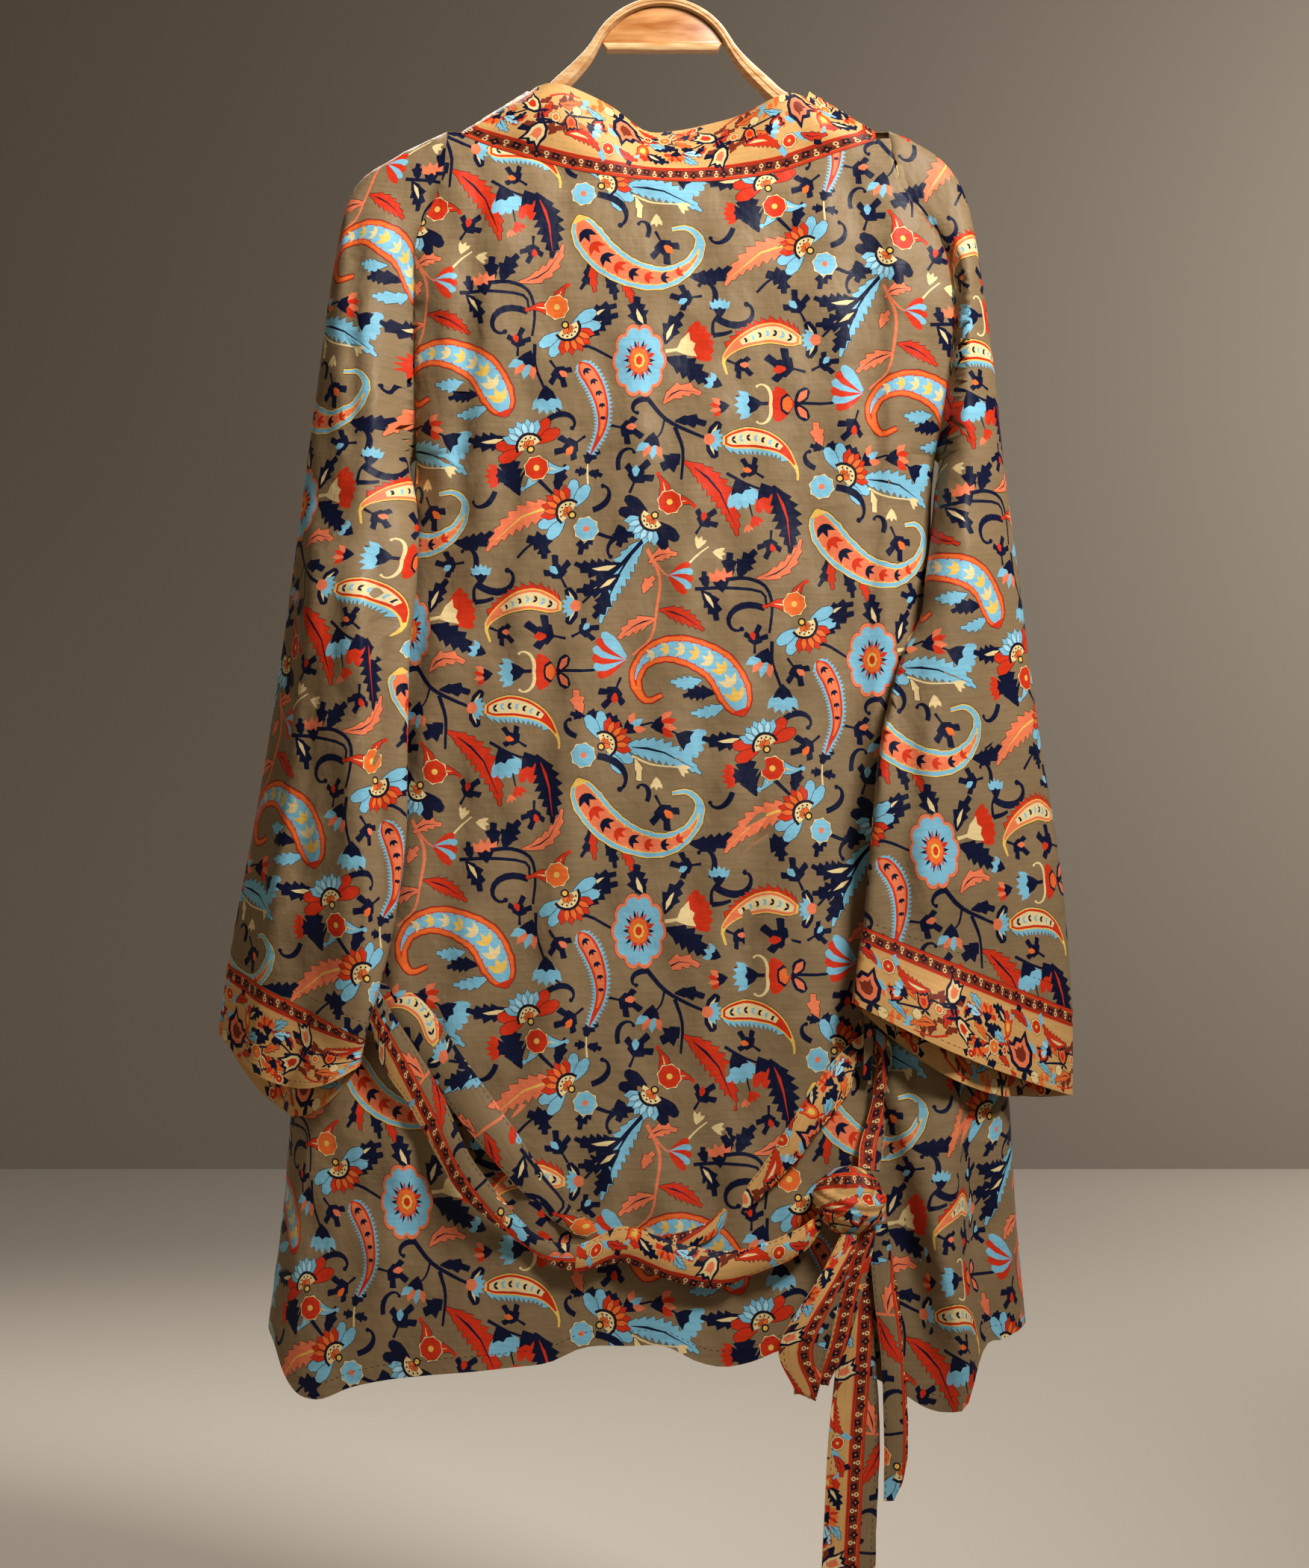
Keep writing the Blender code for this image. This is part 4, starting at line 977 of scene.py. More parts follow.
def sprig(x, y, reach, degrees, bud):
    """Three navy leaves on a short stem, with a bud."""
    angle = math.radians(degrees)

    def place(along_it, off):
        """A place along and beside the stem."""
        return turned([(along_it * reach, off * reach)], x, y, angle)[0]

    shapes = stem([place(-1, 0.1), place(-0.2, 0)], 1.5, "navy")
    for base, end, off, bend in SPRIG_LEAVES:
        shapes += leaf(*place(base, 0), *place(end, off), reach * 0.46, bend, 2, "navy", None)
    head = petal(reach * 0.62, reach * 0.4, 0.6)
    return shapes + [(turned(head, *place(-0.1, -0.08), angle - 0.45), bud)]


def scroll(x0, y0, x1, y1, width, turn):
    """A navy stem that curls up and ends in a knob."""
    t = np.linspace(0, 1, 21)
    heading = turn * t ** 1.5
    steps = np.column_stack([np.cos(heading), np.sin(heading)]) * (1.15 - 0.75 * t)[:, None]
    points = np.vstack([[0, 0], np.cumsum(steps[1:], axis=0)])
    far = points[np.argmax(np.linalg.norm(points, axis=1))]
    points, side = aimed(points, heading, far)
    half = width / 2 / math.hypot(x1 - x0, y1 - y0)
    places = np.linspace(0, 1, 12)
    widths = half * np.interp(places, [0, 0.3, 0.7, 0.93, 1], [0.9, 1, 0.5, 0.42, 0.3])
    rows = list(zip(places, widths))
    outline = between(strip((t, points, side), rows, rows), x0, y0, x1, y1)
    end = between(points[-1:], x0, y0, x1, y1)[0]
    return [(outline, "navy"), dot(*end, width * 0.38, "navy")]


def stem(points, width, fill):
    """A thin stem through a few points."""
    line = np.array(points, float)
    if len(line) > 2:
        line = smooth_line(line, 3 * len(line) - 2)
    half = width * 0.74 * np.linspace(1, 0.6, len(line))[:, None]
    side = left_of(line) * half
    return [(np.vstack([line + side, (line - side)[::-1]]), fill)]


def curled_petal(x, y, angle, size, side, fill):
    """A long petal that narrows into a curled tip."""
    line = bent_line(0.75 * side)
    rows = [(0.0, 0.03), (0.15, 0.14), (0.4, 0.2), (0.65, 0.13), (0.85, 0.05), (1.0, 0.02)]
    vein = [(0.12, 0.01), (0.4, 0.035), (0.75, 0.006)]
    outline = turned(strip(line, rows, rows), x, y, angle, size)
    tip = outline[len(rows) - 1]
    return [(grown(outline, OUTLINE), "line"), (outline, fill), dot(*tip, size * 0.07, fill),
            (turned(strip(line, vein, vein), x, y, angle, size), "cream")]


def cluster(x, y, degrees, main, sides, curls, flower):
    """A blossom: a dotted half disc, petals round it and a small flower behind."""
    angle = math.radians(degrees)
    shapes = []

    def off(distance, turn=angle):
        """The place at a distance from the middle."""
        return x + distance * math.cos(turn), y + distance * math.sin(turn)

    def petals(count, start, step, inner, reach, width, fill):
        """Petals of one kind round the middle."""
        for k in range(count):
            turn = angle + math.radians(start + k * step)
            shape = turned(petal(reach, width, 0.62), *off(inner, turn), turn)
            shapes.extend([(grown(shape, OUTLINE), "line"), (shape, fill)])

    if curls:
        for side in (1, -1):
            shapes += curled_petal(*off(-9), angle + side * 2.35, 25, -side, curls)
    petals(2, 62, 26, 6, 19, 9, sides)
    petals(2, -62, -26, 6, 19, 9, sides)
    petals(5, -44, 22, 8, 13, 6.5, main)
    petals(4, -33, 22, 8, 10.5, 4, {"red": "orange", "blue": "pale", "navy": "navy"}[main])
    disc = np.array(HALF_DISC)
    shapes += [(turned(disc, x, y, angle), "dark"), (turned(disc * 0.8, x, y, angle), "cream")]
    for k in range(5):
        shapes.append(dot(*off(6.6, angle + math.radians(-60 + k * 30)), 0.8, "dark", 6))
    petals(4, -54, 36, -1, 6.4, 3.6, "orange")
    shapes += [dot(*off(-2.5), 3.1, "dark", 10), dot(*off(-2.5), 1.9, "yellow")]
    return shapes + small_flower(*off(-17, angle + 0.12), 8.6, flower)


def rosette(x, y):
    """The large flower: ten scalloped petals round a gold centre."""
    half_x, half_y = ROSETTE_HALF

    def placed(points):
        """Points round the flower's middle, stretched to its height."""
        return points * (1.0, half_y / half_x) + (x, y)

    def ring(turn, share, length, width, tip, fill):
        """A petal at a share of the flower's radius."""
        spot = np.array([math.cos(turn), math.sin(turn)]) * half_x * share
        return placed(turned(petal(half_x * length, half_x * width, tip), *spot, turn)), fill

    shapes = [(placed(lobed(half_x + 0.3, 10, 0.13, 60)), "line"),
              (placed(lobed(half_x, 10, 0.13, 60)), "salmon")]
    for k in range(10):
        turn = k / 10 * 2 * math.pi
        shapes += [ring(turn, 0.28, 0.62, 0.5, 0.72, "blue"), ring(turn, 0.28, 0.3, 0.1, 0.4, "navy"),
                   ring(turn + 0.314, 0.3, 0.3, 0.14, 0.5, "red")]
    centre = ((0.4, 10, 0.12, 20, "red"), (0.35, 8, 0.12, 20, "orange"), (0.2, 8, 0.1, 16, "yellow"),
              (0.12, 1, 0, 10, "red"))
    return shapes + [(placed(lobed(half_x * size, lobes, depth, count)), fill)
                     for size, lobes, depth, count, fill in centre]


# Places along each kind of paisley, and its width at each as a share of its half width
PAISLEY_PLACES = [0, 0.02, 0.06, 0.12, 0.22, 0.42, 0.6, 0.72, 0.85, 0.95, 1]
PAISLEY_WIDTHS = [0.1, 0.5, 0.8, 0.97, 1.0, 0.85, 0.62, 0.42, 0.25, 0.17, 0.14]
PAISLEY_INSETS = (0, 0.9, 3.2, 3.9)
SLIM_WIDTHS = ([0, 0.04, 0.14, 0.3, 0.5, 0.7, 0.88, 1.0],
               [0.2, 0.75, 1.0, 0.95, 0.75, 0.5, 0.25, 0.08])
BUD_WIDTHS = ([0.12, 0.2, 0.34, 0.5, 0.66, 0.8, 0.9, 1.0],
              [0.35, 0.8, 1.0, 0.9, 0.6, 0.3, 0.14, 0.1])


def route_line(route, count):
    """A smooth line along a route, as strips take it, and its length."""
    points = smooth_line(route, count)
    t = np.concatenate([[0], np.cumsum(np.linalg.norm(np.diff(points, axis=0), axis=1))])
    return (t / t[-1], points, left_of(points)), t[-1]


def layers_of(line, width_at, layers, count, least):
    """A paisley's layers, one inside the other: rows of (inset, fill, start, stop)."""
    shapes = []
    for inset, fill, start, stop in layers:
        rows = [(place, width_at(place) - inset) for place in np.linspace(start, stop, count)]
        rows = [(place, width) for place, width in rows if width > least]
        shapes.append((strip(line, rows, rows), fill))
    return shapes


def chevrons(line, places, turns, size_at, fills):
    """Small leaves in twos or threes along a paisley's middle."""
    shapes = []
    for k, place in enumerate(places):
        at, heading = on_line(line, place)
        for turn in turns:
            shape = turned(petal(*size_at(k, place)), *at, heading + turn)
            shapes.append((shape, fills[k % len(fills)]))
    return shapes


def paisley(route, half, layers, spurs):
    """A hooked paisley: rim, inner rims and body, with leaves along its middle."""
    line, length = route_line(route, 49)
    t, points, side = line

    def width_at(place):
        """Half the paisley's width at a place."""
        return half * np.interp(place, PAISLEY_PLACES, PAISLEY_WIDTHS)

    shapes = []
    for depth, (inset, fill) in enumerate(zip(PAISLEY_INSETS, layers)):
        rows = []
        for place in np.linspace(0, 1, 34):
            width = width_at(place)
            if depth < 2 and 0.1 < place < 0.85:
                width += 0.9 * ((place * spurs * 1.6) % 1.0)
            inner = inset / length <= place <= 1 - (0 if depth < 2 else 0.04)
            if width - inset > 0.35 and inner:
                rows.append((place + (0.004 if depth else 0), width - inset))
        outline = strip(line, rows, rows)
        if depth == 0:
            shapes.append((grown(outline, OUTLINE), "line"))
        shapes.append((outline, fill))

    def size_at(_, place):
        """Length, width and tip of a leaf at a place."""
        size = half * (0.95 - place * 0.7)
        return size, size * 0.42, 0.45

    fills = {"salmon": ("navy", "red"), "blue": ("yellow", "cream")}[layers[-1]]
    shapes += chevrons(line, np.linspace(0.08, 0.62, 8), (0.75, -0.75, 0.0), size_at, fills)
    for place in np.linspace(0.12, 0.7, 12):
        width = width_at(place) - PAISLEY_INSETS[-1]
        heading = on_line(line, place)[1]
        for sign in (1, -1):
            rim = [np.interp(place, t, points[:, n] + sign * side[:, n] * width) for n in (0, 1)]
            shapes.append((turned(petal(2.6, 0.8, 0.4), *rim, heading - sign * 0.5), layers[0]))
    return shapes


def slim_paisley(route, half):
    """A slim red paisley with a blue comb round it."""
    line, _ = route_line(route, 33)

    def width_at(place):
        """Half the paisley's width at a place."""
        return half * np.interp(place, *SLIM_WIDTHS)

    teeth = 26
    comb = []
    for k in range(teeth):
        place = k / teeth
        comb += [(place, width_at(place) + 0.6), (place + 0.5 / teeth, width_at(place) + 3.4)]
    comb.append((1.0, 0.4))
    layers = ((0, "red", 0, 1), (1.5, "orange", 0.02, 0.92), (2.3, "salmon", 0.03, 0.86))
    shapes = [(strip(line, comb, comb), "blue")] + layers_of(line, width_at, layers, 16, 0.25)
    return shapes + chevrons(line, np.linspace(0.08, 0.6, 5), (0.7, -0.7, 0.0),
                             lambda k, _: (5.6 - k * 0.6, 2.2, 0.45), ["navy"])


def bud_paisley(route, half, petals, body):
    """A flower whose middle runs out into a hooked paisley with chevrons."""
    line, _ = route_line(route, 41)
    points = line[1]

    def width_at(place):
        """Half the paisley's width at a place."""
        return half * np.interp(place, *BUD_WIDTHS)

    comb, plain = [], []
    for k in range(12):
        place = 0.14 + k * 0.052
        width = width_at(place)
        comb += [(place, width + 1.2), (place + 0.045, width + 6.0 - 0.25 * k)]
        plain.append((place, width))
    fan = strip(line, comb + [(0.8, 0.5)], plain + [(0.8, 0.3)])
    layers = ((0, "yellow", 0.12, 1), (1.0, body, 0.14, 0.9), (2.8, "cream", 0.16, 0.66))
    shapes = [(grown(fan, OUTLINE), "line"), (fan, petals)] + layers_of(line, width_at, layers, 18, 0.2)
    shapes += chevrons(line, np.linspace(0.2, 0.6, 7), (0.7, -0.7),
                       lambda k, _: (4.6 - 0.3 * k, 2.0, 0.5), ["navy", "blue"])
    x, y = points[0]
    ahead = math.atan2(*(points[3] - points[0])[::-1])
    for turn in (ahead + 1.15, ahead - 1.15):
        shapes.append((turned(petal(15, 9, 0.5), x, y, turn), "navy"))
        vein = turned(petal(11, 2.4, 0.5), x + 1.5 * math.cos(turn), y + 1.5 * math.sin(turn), turn)
        shapes.append((vein, "cream"))
    for k in range(5):
        shapes.append((turned(petal(11, 4.4, 0.6), x, y, ahead + (k - 2) * 0.42), "blue"))
    return shapes + [(turned(lobed(4.4, 5, 0.15, 12), x, y, ahead), "salmon")]


def carnation(x, y):
    """The flower of the long spray: a red fan in a navy cup, with cream curls."""
    shapes = fan_flower(x, y, x - 19, y, 7, "red", "red", None)
    shapes.append((turned(petal(9, 16, 0.45), x - 1, y, math.pi), "navy"))
    shapes.append((turned(petal(7.5, 12, 0.45), x - 1, y, math.pi), "orange"))
    for sign in (1, -1):
        turn = 0.9 * sign
        shapes.append((turned(petal(15, 9.5, 0.6), x + 1, y, turn), "navy"))
        shapes.append((turned(petal(11, 5.5, 0.6), x + 3, y + 2 * sign, turn), "salmon"))
        curl = scroll(x - 17, y, x - 26, y + 14 * sign, 2.6, 2.6 * sign)
        shapes += [(shape, "cream") for shape, _ in curl]
    return shapes


def cream_bud(x, y, turn):
    """A small cream bud."""
    return fan_flower(x, y, x + 8 * math.cos(turn), y + 8 * math.sin(turn), 3, "cream", "cream", "cream")


def motifs(*kinds):
    """Shapes for every row of some tables, in painting order: each kind is a maker and its rows."""
    return [shape for make, rows in kinds for row in rows for shape in make(*row)]


def silk_cell(detail):
    """Every motif of one repeat of the silk in painting order, or a few plain leaves."""
    if not detail:
        plain = [(*row[:6], 1, row[7], None, False) for row in LEAVES[::4]]
        return motifs((leaf, plain))
    return motifs(
        (leaf, LEAVES), (sprig, SPRIGS), (stem, STEMS), (scroll, SCROLLS), (fan_flower, FANS),
        (slim_paisley, SLIM_PAISLEYS), (paisley, PAISLEYS), (bud_paisley, BUD_PAISLEYS),
        (carnation, CARNATIONS), (cream_bud, CREAM_BUDS), (leaf, CREAM_LEAVES),
        (cluster, CLUSTERS), (rosette, ROSETTES),
    )


def tiled(cell, box, steps):
    """Copies of a cell's shapes over a box, shifted by two steps."""
    u0, v0, u1, v1 = box
    low = np.array([points.min(axis=0) for points, _ in cell])
    high = np.array([points.max(axis=0) for points, _ in cell])
    first = math.floor(u0 / steps[0][0]) - 2
    last = math.ceil(u1 / steps[0][0]) + 2
    shapes = []
    for i in range(first, last + 1):
        for j in range(-TILE_REACH - i // 2, TILE_REACH + 1 - i // 2):
            shift = i * np.array(steps[0]) + j * np.array(steps[1])
            meets = ((low + shift < (u1, v1)) & (high + shift > (u0, v0))).all(axis=1)
            shapes += [(cell[k][0] + shift, cell[k][1]) for k in np.flatnonzero(meets)]
    return shapes


SILK_STEPS = ((PITCH, DROP), (0, REPEAT))
TILE_REACH = 8         # repeats up and down that are tried for each column
INSIDE_BATCH = 3000    # triangles tested against an edge at a time
LOCATE_ROUNDS = 8


def inside(points, outline):
    """Which points lie inside a closed outline."""
    ax, ay = outline[:, 0], outline[:, 1]
    bx, by = np.roll(ax, -1), np.roll(ay, -1)
    x, y = points[:, 0:1], points[:, 1:2]
    crosses = (ay > y) != (by > y)
    with np.errstate(divide="ignore", invalid="ignore"):
        at = ax + (y - ay) * (bx - ax) / (by - ay)
    return (crosses & (x < at)).sum(axis=1) % 2 == 1


def paint(centres, shapes, base):
    """Colour number of each centre, from shapes in painting order over a base colour."""
    colours = np.full(len(centres), base)
    order = np.argsort(centres[:, 0])
    xs = centres[order, 0]
    for points, fill in shapes:
        low, high = points.min(axis=0), points.max(axis=0)
        some = order[np.searchsorted(xs, low[0]):np.searchsorted(xs, high[0])]
        some = some[(centres[some, 1] > low[1]) & (centres[some, 1] < high[1])]
        if len(some):
            colours[some[inside(centres[some], points)]] = COLOUR_NAMES.index(fill)
    return colours


def locate(flat, targets):
    """Row and column, with fractions, of points given on the flat pattern."""
    rows, columns = flat.shape[:2]
    tree = KDTree(rows * columns)
    for k, (u, v) in enumerate(flat.reshape(-1, 2).tolist()):
        tree.insert((u, v, 0), k)
    tree.balance()
    nearest = np.array([tree.find((u, v, 0))[1] for u, v in targets.tolist()])
    place = np.column_stack([nearest // columns, nearest % columns]).astype(float)
    limits = np.array([rows - 1, columns - 1], float)
    for _ in range(LOCATE_ROUNDS):
        value, down, across = sample_slopes(flat, place)
        miss = targets - value
        det = down[:, 0] * across[:, 1] - down[:, 1] * across[:, 0]
        det = np.where(np.abs(det) < TINY, TINY, det)
        step = np.column_stack([miss[:, 0] * across[:, 1] - miss[:, 1] * across[:, 0],
                                down[:, 0] * miss[:, 1] - down[:, 1] * miss[:, 0]]) / det[:, None]
        place = np.clip(place + np.clip(step, -1, 1), 0, limits)
    return place


def corners(grid, place):
    """The four grid values round each place, and the place's fractions."""
    rows, columns = grid.shape[:2]
    r = np.clip(np.floor(place[:, 0]).astype(int), 0, rows - 2)
    c = np.clip(np.floor(place[:, 1]).astype(int), 0, columns - 2)
    fr, fc = (place[:, 0] - r)[:, None], (place[:, 1] - c)[:, None]
    return grid[r, c], grid[r, c + 1], grid[r + 1, c], grid[r + 1, c + 1], fr, fc


def sample(grid, place):
    """Values of a grid at places between its points."""
    return sample_slopes(grid, place)[0]


def sample_slopes(grid, place):
    """Values of a grid at places, and their slopes down and across it."""
    a, b, c, d, fr, fc = corners(grid, place)
    value = (a * (1 - fc) + b * fc) * (1 - fr) + (c * (1 - fc) + d * fc) * fr
    return value, (c - a) * (1 - fc) + (d - b) * fc, (b - a) * (1 - fr) + (d - c) * fr


def arc(grid, axis):
    """Length along a grid's rows or columns."""
    steps = np.linalg.norm(np.diff(grid, axis=axis), axis=2)
    start = np.zeros_like(np.take(steps, [0], axis=axis))
    return np.concatenate([start, np.cumsum(steps, axis=axis)], axis=axis)


def border_loop(rows, columns):
    """Places round the edge of a grid."""
    r, c = np.arange(rows), np.arange(columns)
    return np.vstack([np.column_stack([0 * c, c]),
                      np.column_stack([r[1:], 0 * r[1:] + columns - 1]),
                      np.column_stack([0 * c[:-1] + rows - 1, c[-2::-1]]),
                      np.column_stack([r[-2:0:-1], 0 * r[-2:0:-1]])]).astype(float)


def triangulate(flat, shapes, spacing):
    """Triangles of a flat pattern that keep the print's outlines, and their places."""
    rows, columns = flat.shape[:2]
    loop = border_loop(rows, columns)
    edge = flat[loop[:, 0].astype(int), loop[:, 1].astype(int)]
    points = [edge]
    links = [np.column_stack([np.arange(len(edge)), (np.arange(len(edge)) + 1) % len(edge)])]
    count = len(edge)
    for outline, _ in shapes:
        n = np.arange(len(outline))
        points.append(outline)
        links.append(np.column_stack([n, (n + 1) % len(n)]) + count)
        count += len(outline)
    inner = flat[spacing:-spacing:spacing, spacing:-spacing:spacing].reshape(-1, 2)
    points.append(inner)
    points, links = np.vstack(points), np.vstack(links)
    made = delaunay_2d_cdt([Vector(p) for p in points.tolist()], links.tolist(), [], 0, 1e-4)
    vertices = np.array([tuple(v) for v in made[0]])
    faces = np.array(made[2])
    centres = vertices[faces].mean(axis=1)
    keep = np.zeros(len(faces), bool)
    near = ((centres > edge.min(axis=0)) & (centres < edge.max(axis=0))).all(axis=1)
    chosen = np.flatnonzero(near)
    for start in range(0, len(chosen), INSIDE_BATCH):
        part = chosen[start:start + INSIDE_BATCH]
        keep[part] = inside(centres[part], edge)
    faces, centres = faces[keep], centres[keep]
    used = np.unique(faces)
    renumber = np.full(len(vertices), -1)
    renumber[used] = np.arange(len(used))
    return vertices[used], renumber[faces], centres


def edge_loop(faces, place, rows, columns):
    """Vertices along a sheet's edge in order, with how far round the grid each one lies."""
    half = np.concatenate([faces[:, [0, 1]], faces[:, [1, 2]], faces[:, [2, 0]]])
    keys = np.sort(half, axis=1)
    _, index, counts = np.unique(keys, axis=0, return_index=True, return_counts=True)
    single = half[index[counts == 1]]
    vertices = np.unique(single)
    r, c = place[vertices].T
    last_r, last_c = rows - 1, columns - 1
    sides = np.abs(np.column_stack([r, last_c - c, last_r - r, c]))
    side = sides.argmin(axis=1)
    way = np.select([side == 0, side == 1, side == 2, side == 3],
                    [c / last_c, 1 + r / last_r, 2 + 1 - c / last_c, 3 + 1 - r / last_r])
    order = np.argsort(way)
    return vertices[order], way[order]


def zip_loops(first, second):
    """Triangles between two closed loops of vertices with their ways round."""
    (a, wa), (b, wb) = first, second
    i = j = 0
    faces = []
    while i < len(a) or j < len(b):
        next_a = wa[i + 1] if i + 1 < len(a) else 4 + wa[0]
        next_b = wb[j + 1] if j + 1 < len(b) else 4 + wb[0]
        p, q = a[i % len(a)], b[j % len(b)]
        if j >= len(b) or (i < len(a) and next_a <= next_b):
            faces.append((p, q, a[(i + 1) % len(a)]))
            i += 1
        else:
            faces.append((p, q, b[(j + 1) % len(b)]))
            j += 1
    return faces


def stitches(path):
    """Short stitches along a path of the flat pattern."""
    way = np.concatenate([[0], np.cumsum(np.linalg.norm(np.diff(path, axis=0), axis=1))])
    shapes = []
    for start in np.arange(STITCH, way[-1] - 2 * STITCH, 2 * STITCH):
        ends = np.column_stack([np.interp((start, start + STITCH), way, path[:, k]) for k in (0, 1)])
        run = ends[1] - ends[0]
        side = np.array([-run[1], run[0]]) * STITCH_HALF / np.linalg.norm(run)
        shapes.append((np.vstack([ends + side, (ends - side)[::-1]]), "line"))
    return shapes


def sheet_mesh(sheet, pattern, base, spacing, lined):
    """Points, faces, colours, normals and flat places of a sheet: two skins and their rim."""
    grid, normals, flat, thickness, seams = sheet
    rows, columns = grid.shape[:2]
    low, high = flat.reshape(-1, 2).min(axis=0), flat.reshape(-1, 2).max(axis=0)
    box = (*(low - 1), *(high + 1))
    skins = []
    for side, detail in ((0.5, True), (-0.5, lined)):
        shapes = pattern(box, detail)
        if side > 0:
            shapes += [stitch for path in seams for stitch in stitches(path)]
        vertices, faces, centres = triangulate(flat, shapes, spacing)
        place = locate(flat, vertices)
        points = sample(grid + normals * thickness * side, place)
        direction = sample(normals, place) * np.sign(side)
        edges = points[faces]
        facing = np.cross(edges[:, 1] - edges[:, 0], edges[:, 2] - edges[:, 0])
        agree = (facing * direction[faces[:, 0]]).sum(axis=1) > 0
        if agree.mean() < 0.5:
            faces = faces[:, ::-1]
        skins.append((points, faces, paint(centres, shapes, base), direction, vertices,
                      edge_loop(faces, place, rows, columns)))
    first, second = skins
    shift = len(first[0])
    rim = np.array(zip_loops(first[5], (second[5][0] + shift, second[5][1])))
    points = np.vstack([first[0], second[0]])
    directions = np.vstack([first[3], second[3]])
    facing = np.cross(points[rim[:, 1]] - points[rim[:, 0]], points[rim[:, 2]] - points[rim[:, 0]])
    middle = points[rim].mean(axis=1) - grid.reshape(-1, 3).mean(axis=0)
    if (facing * middle).sum() < 0:
        rim = rim[:, ::-1]
    faces = np.vstack([first[1], second[1] + shift, rim])
    colours = np.concatenate([first[2], second[2], np.full(len(rim), base)])
    sides = np.repeat([0, 1, 1], [len(first[1]), len(second[1]), len(rim)])
    return points, faces, colours, directions, np.vstack([first[4], second[4]]), sides


def printed_sheet(name, sheets, finish, pattern, base, spacing=2, lined=False):
    """A cloth piece with its print, from one flat pattern or several side by side."""
    parts = [sheet_mesh(sheet, pattern, COLOUR_NAMES.index(base), spacing, lined) for sheet in sheets]
    shifts = np.cumsum([0] + [len(part[0]) for part in parts])
    points, _, colours, directions, flats, _ = (np.concatenate(items) for items in zip(*parts))
    faces = np.vstack([part[1] + shift for part, shift in zip(parts, shifts)])
    mesh = bpy.data.meshes.new(name)
    mesh.from_pydata((points * MM).tolist(), [], faces.tolist())
    mesh.update()
    loops = np.empty(len(mesh.loops), int)
    mesh.loops.foreach_get("vertex_index", loops)
    add_colours(mesh, colours)
    tiles = np.concatenate([2 * k + part[5] for k, part in enumerate(parts)])
    add_maps(mesh, loops, flats, np.repeat(tiles, 3), 2 * len(parts))
    directions /= np.maximum(np.linalg.norm(directions, axis=1, keepdims=True), TINY)
    mesh.shade_smooth()
    mesh.normals_split_custom_set_from_vertices(directions.tolist())
    return add_piece(name, mesh, finish)


def add_colours(mesh, colours):
    """One colour a face, kept on the face's corners."""
    palette = np.array([[*linear(code), 1.0] for code in PALETTE.values()])
    layer = mesh.color_attributes.new("print", "FLOAT_COLOR", "CORNER")
    layer.data.foreach_set("color", np.repeat(palette[colours], 3, axis=0).ravel())


BAKE_ACROSS = (0.94, 0.03)     # share of a tile that is used, and its margin
BAKE_DOWN = (0.96, 0.02)


def add_maps(mesh, loops, flats, tiles, count):
    """The flat pattern in decimetres for the weave, and tiles of a unit square for baking."""
    cloth = mesh.uv_layers.new(name="cloth")
    places = flats[loops] * (0.01, -0.01)
    cloth.data.foreach_set("uv", places.ravel())
    bake = mesh.uv_layers.new(name="OFBake")
    unit_square = flats[loops]
    for tile in range(count):
        mine = tiles == tile
        low, high = unit_square[mine].min(axis=0), unit_square[mine].max(axis=0)
        unit_square[mine] = (unit_square[mine] - low) / (high - low)
    unit_square[:, 0] = (unit_square[:, 0] * BAKE_ACROSS[0] + BAKE_ACROSS[1] + tiles) / count
    unit_square[:, 1] = unit_square[:, 1] * BAKE_DOWN[0] + BAKE_DOWN[1]
    bake.data.foreach_set("uv", unit_square.ravel())
    mesh.uv_layers.active = cloth


def add_piece(name, mesh, finish):
    """Links a piece that rides on the robe's one body and stands for its CAD node."""
    mesh.materials.append(MATERIALS[finish])
    piece = bpy.data.objects.new(name + "_look", mesh)
    bpy.context.scene.collection.objects.link(piece)
    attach(piece, "root")
    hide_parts(name)
    return piece


# The border print: its repeat runs along u, and v counts from the seam
BORDER_REPEAT = 138.0
BAND_FOOT = 11.6
BAND_MIDDLE = 5.7
BAND_FLOWERS = 12
STRIPE_STEP = 7.0      # distance between the points of the border's long lines
STRIPES = [  # top, bottom, fill; the last one only where the print has its detail
    (0, BAND_FOOT, "band"),
    (BAND_FOOT, 90, "border"),
    (0.4, 1.9, "red"),
    (9.1, 9.9, "red"),
    (10.5, BAND_FOOT, "red"),
    (2.2, 2.7, "orange"),
]
BORDER_STEPS = ((BORDER_REPEAT, 0), (0, 1e6))
TULIPS = [  # centre, length, width, angle, outline, fill, heart
    (3, 19, 22, 13, -110, "navy", "cream", "salmon"),
    (-8, 40, 22, 12, 150, "navy", "cream", "red"),
    (26, 33, 13, 10, -75, "navy", "orange", "red"),
    (69, 41, 25, 23, -60, "navy", "salmon", "band"),
    (47, 36, 12, 11, 20, "navy", "red", "cream"),
    (83, 27, 15, 10, -100, "red", "orange", "yellow"),
    (107, 47, 12, 8, 60, "navy", "cream", "orange"),
]
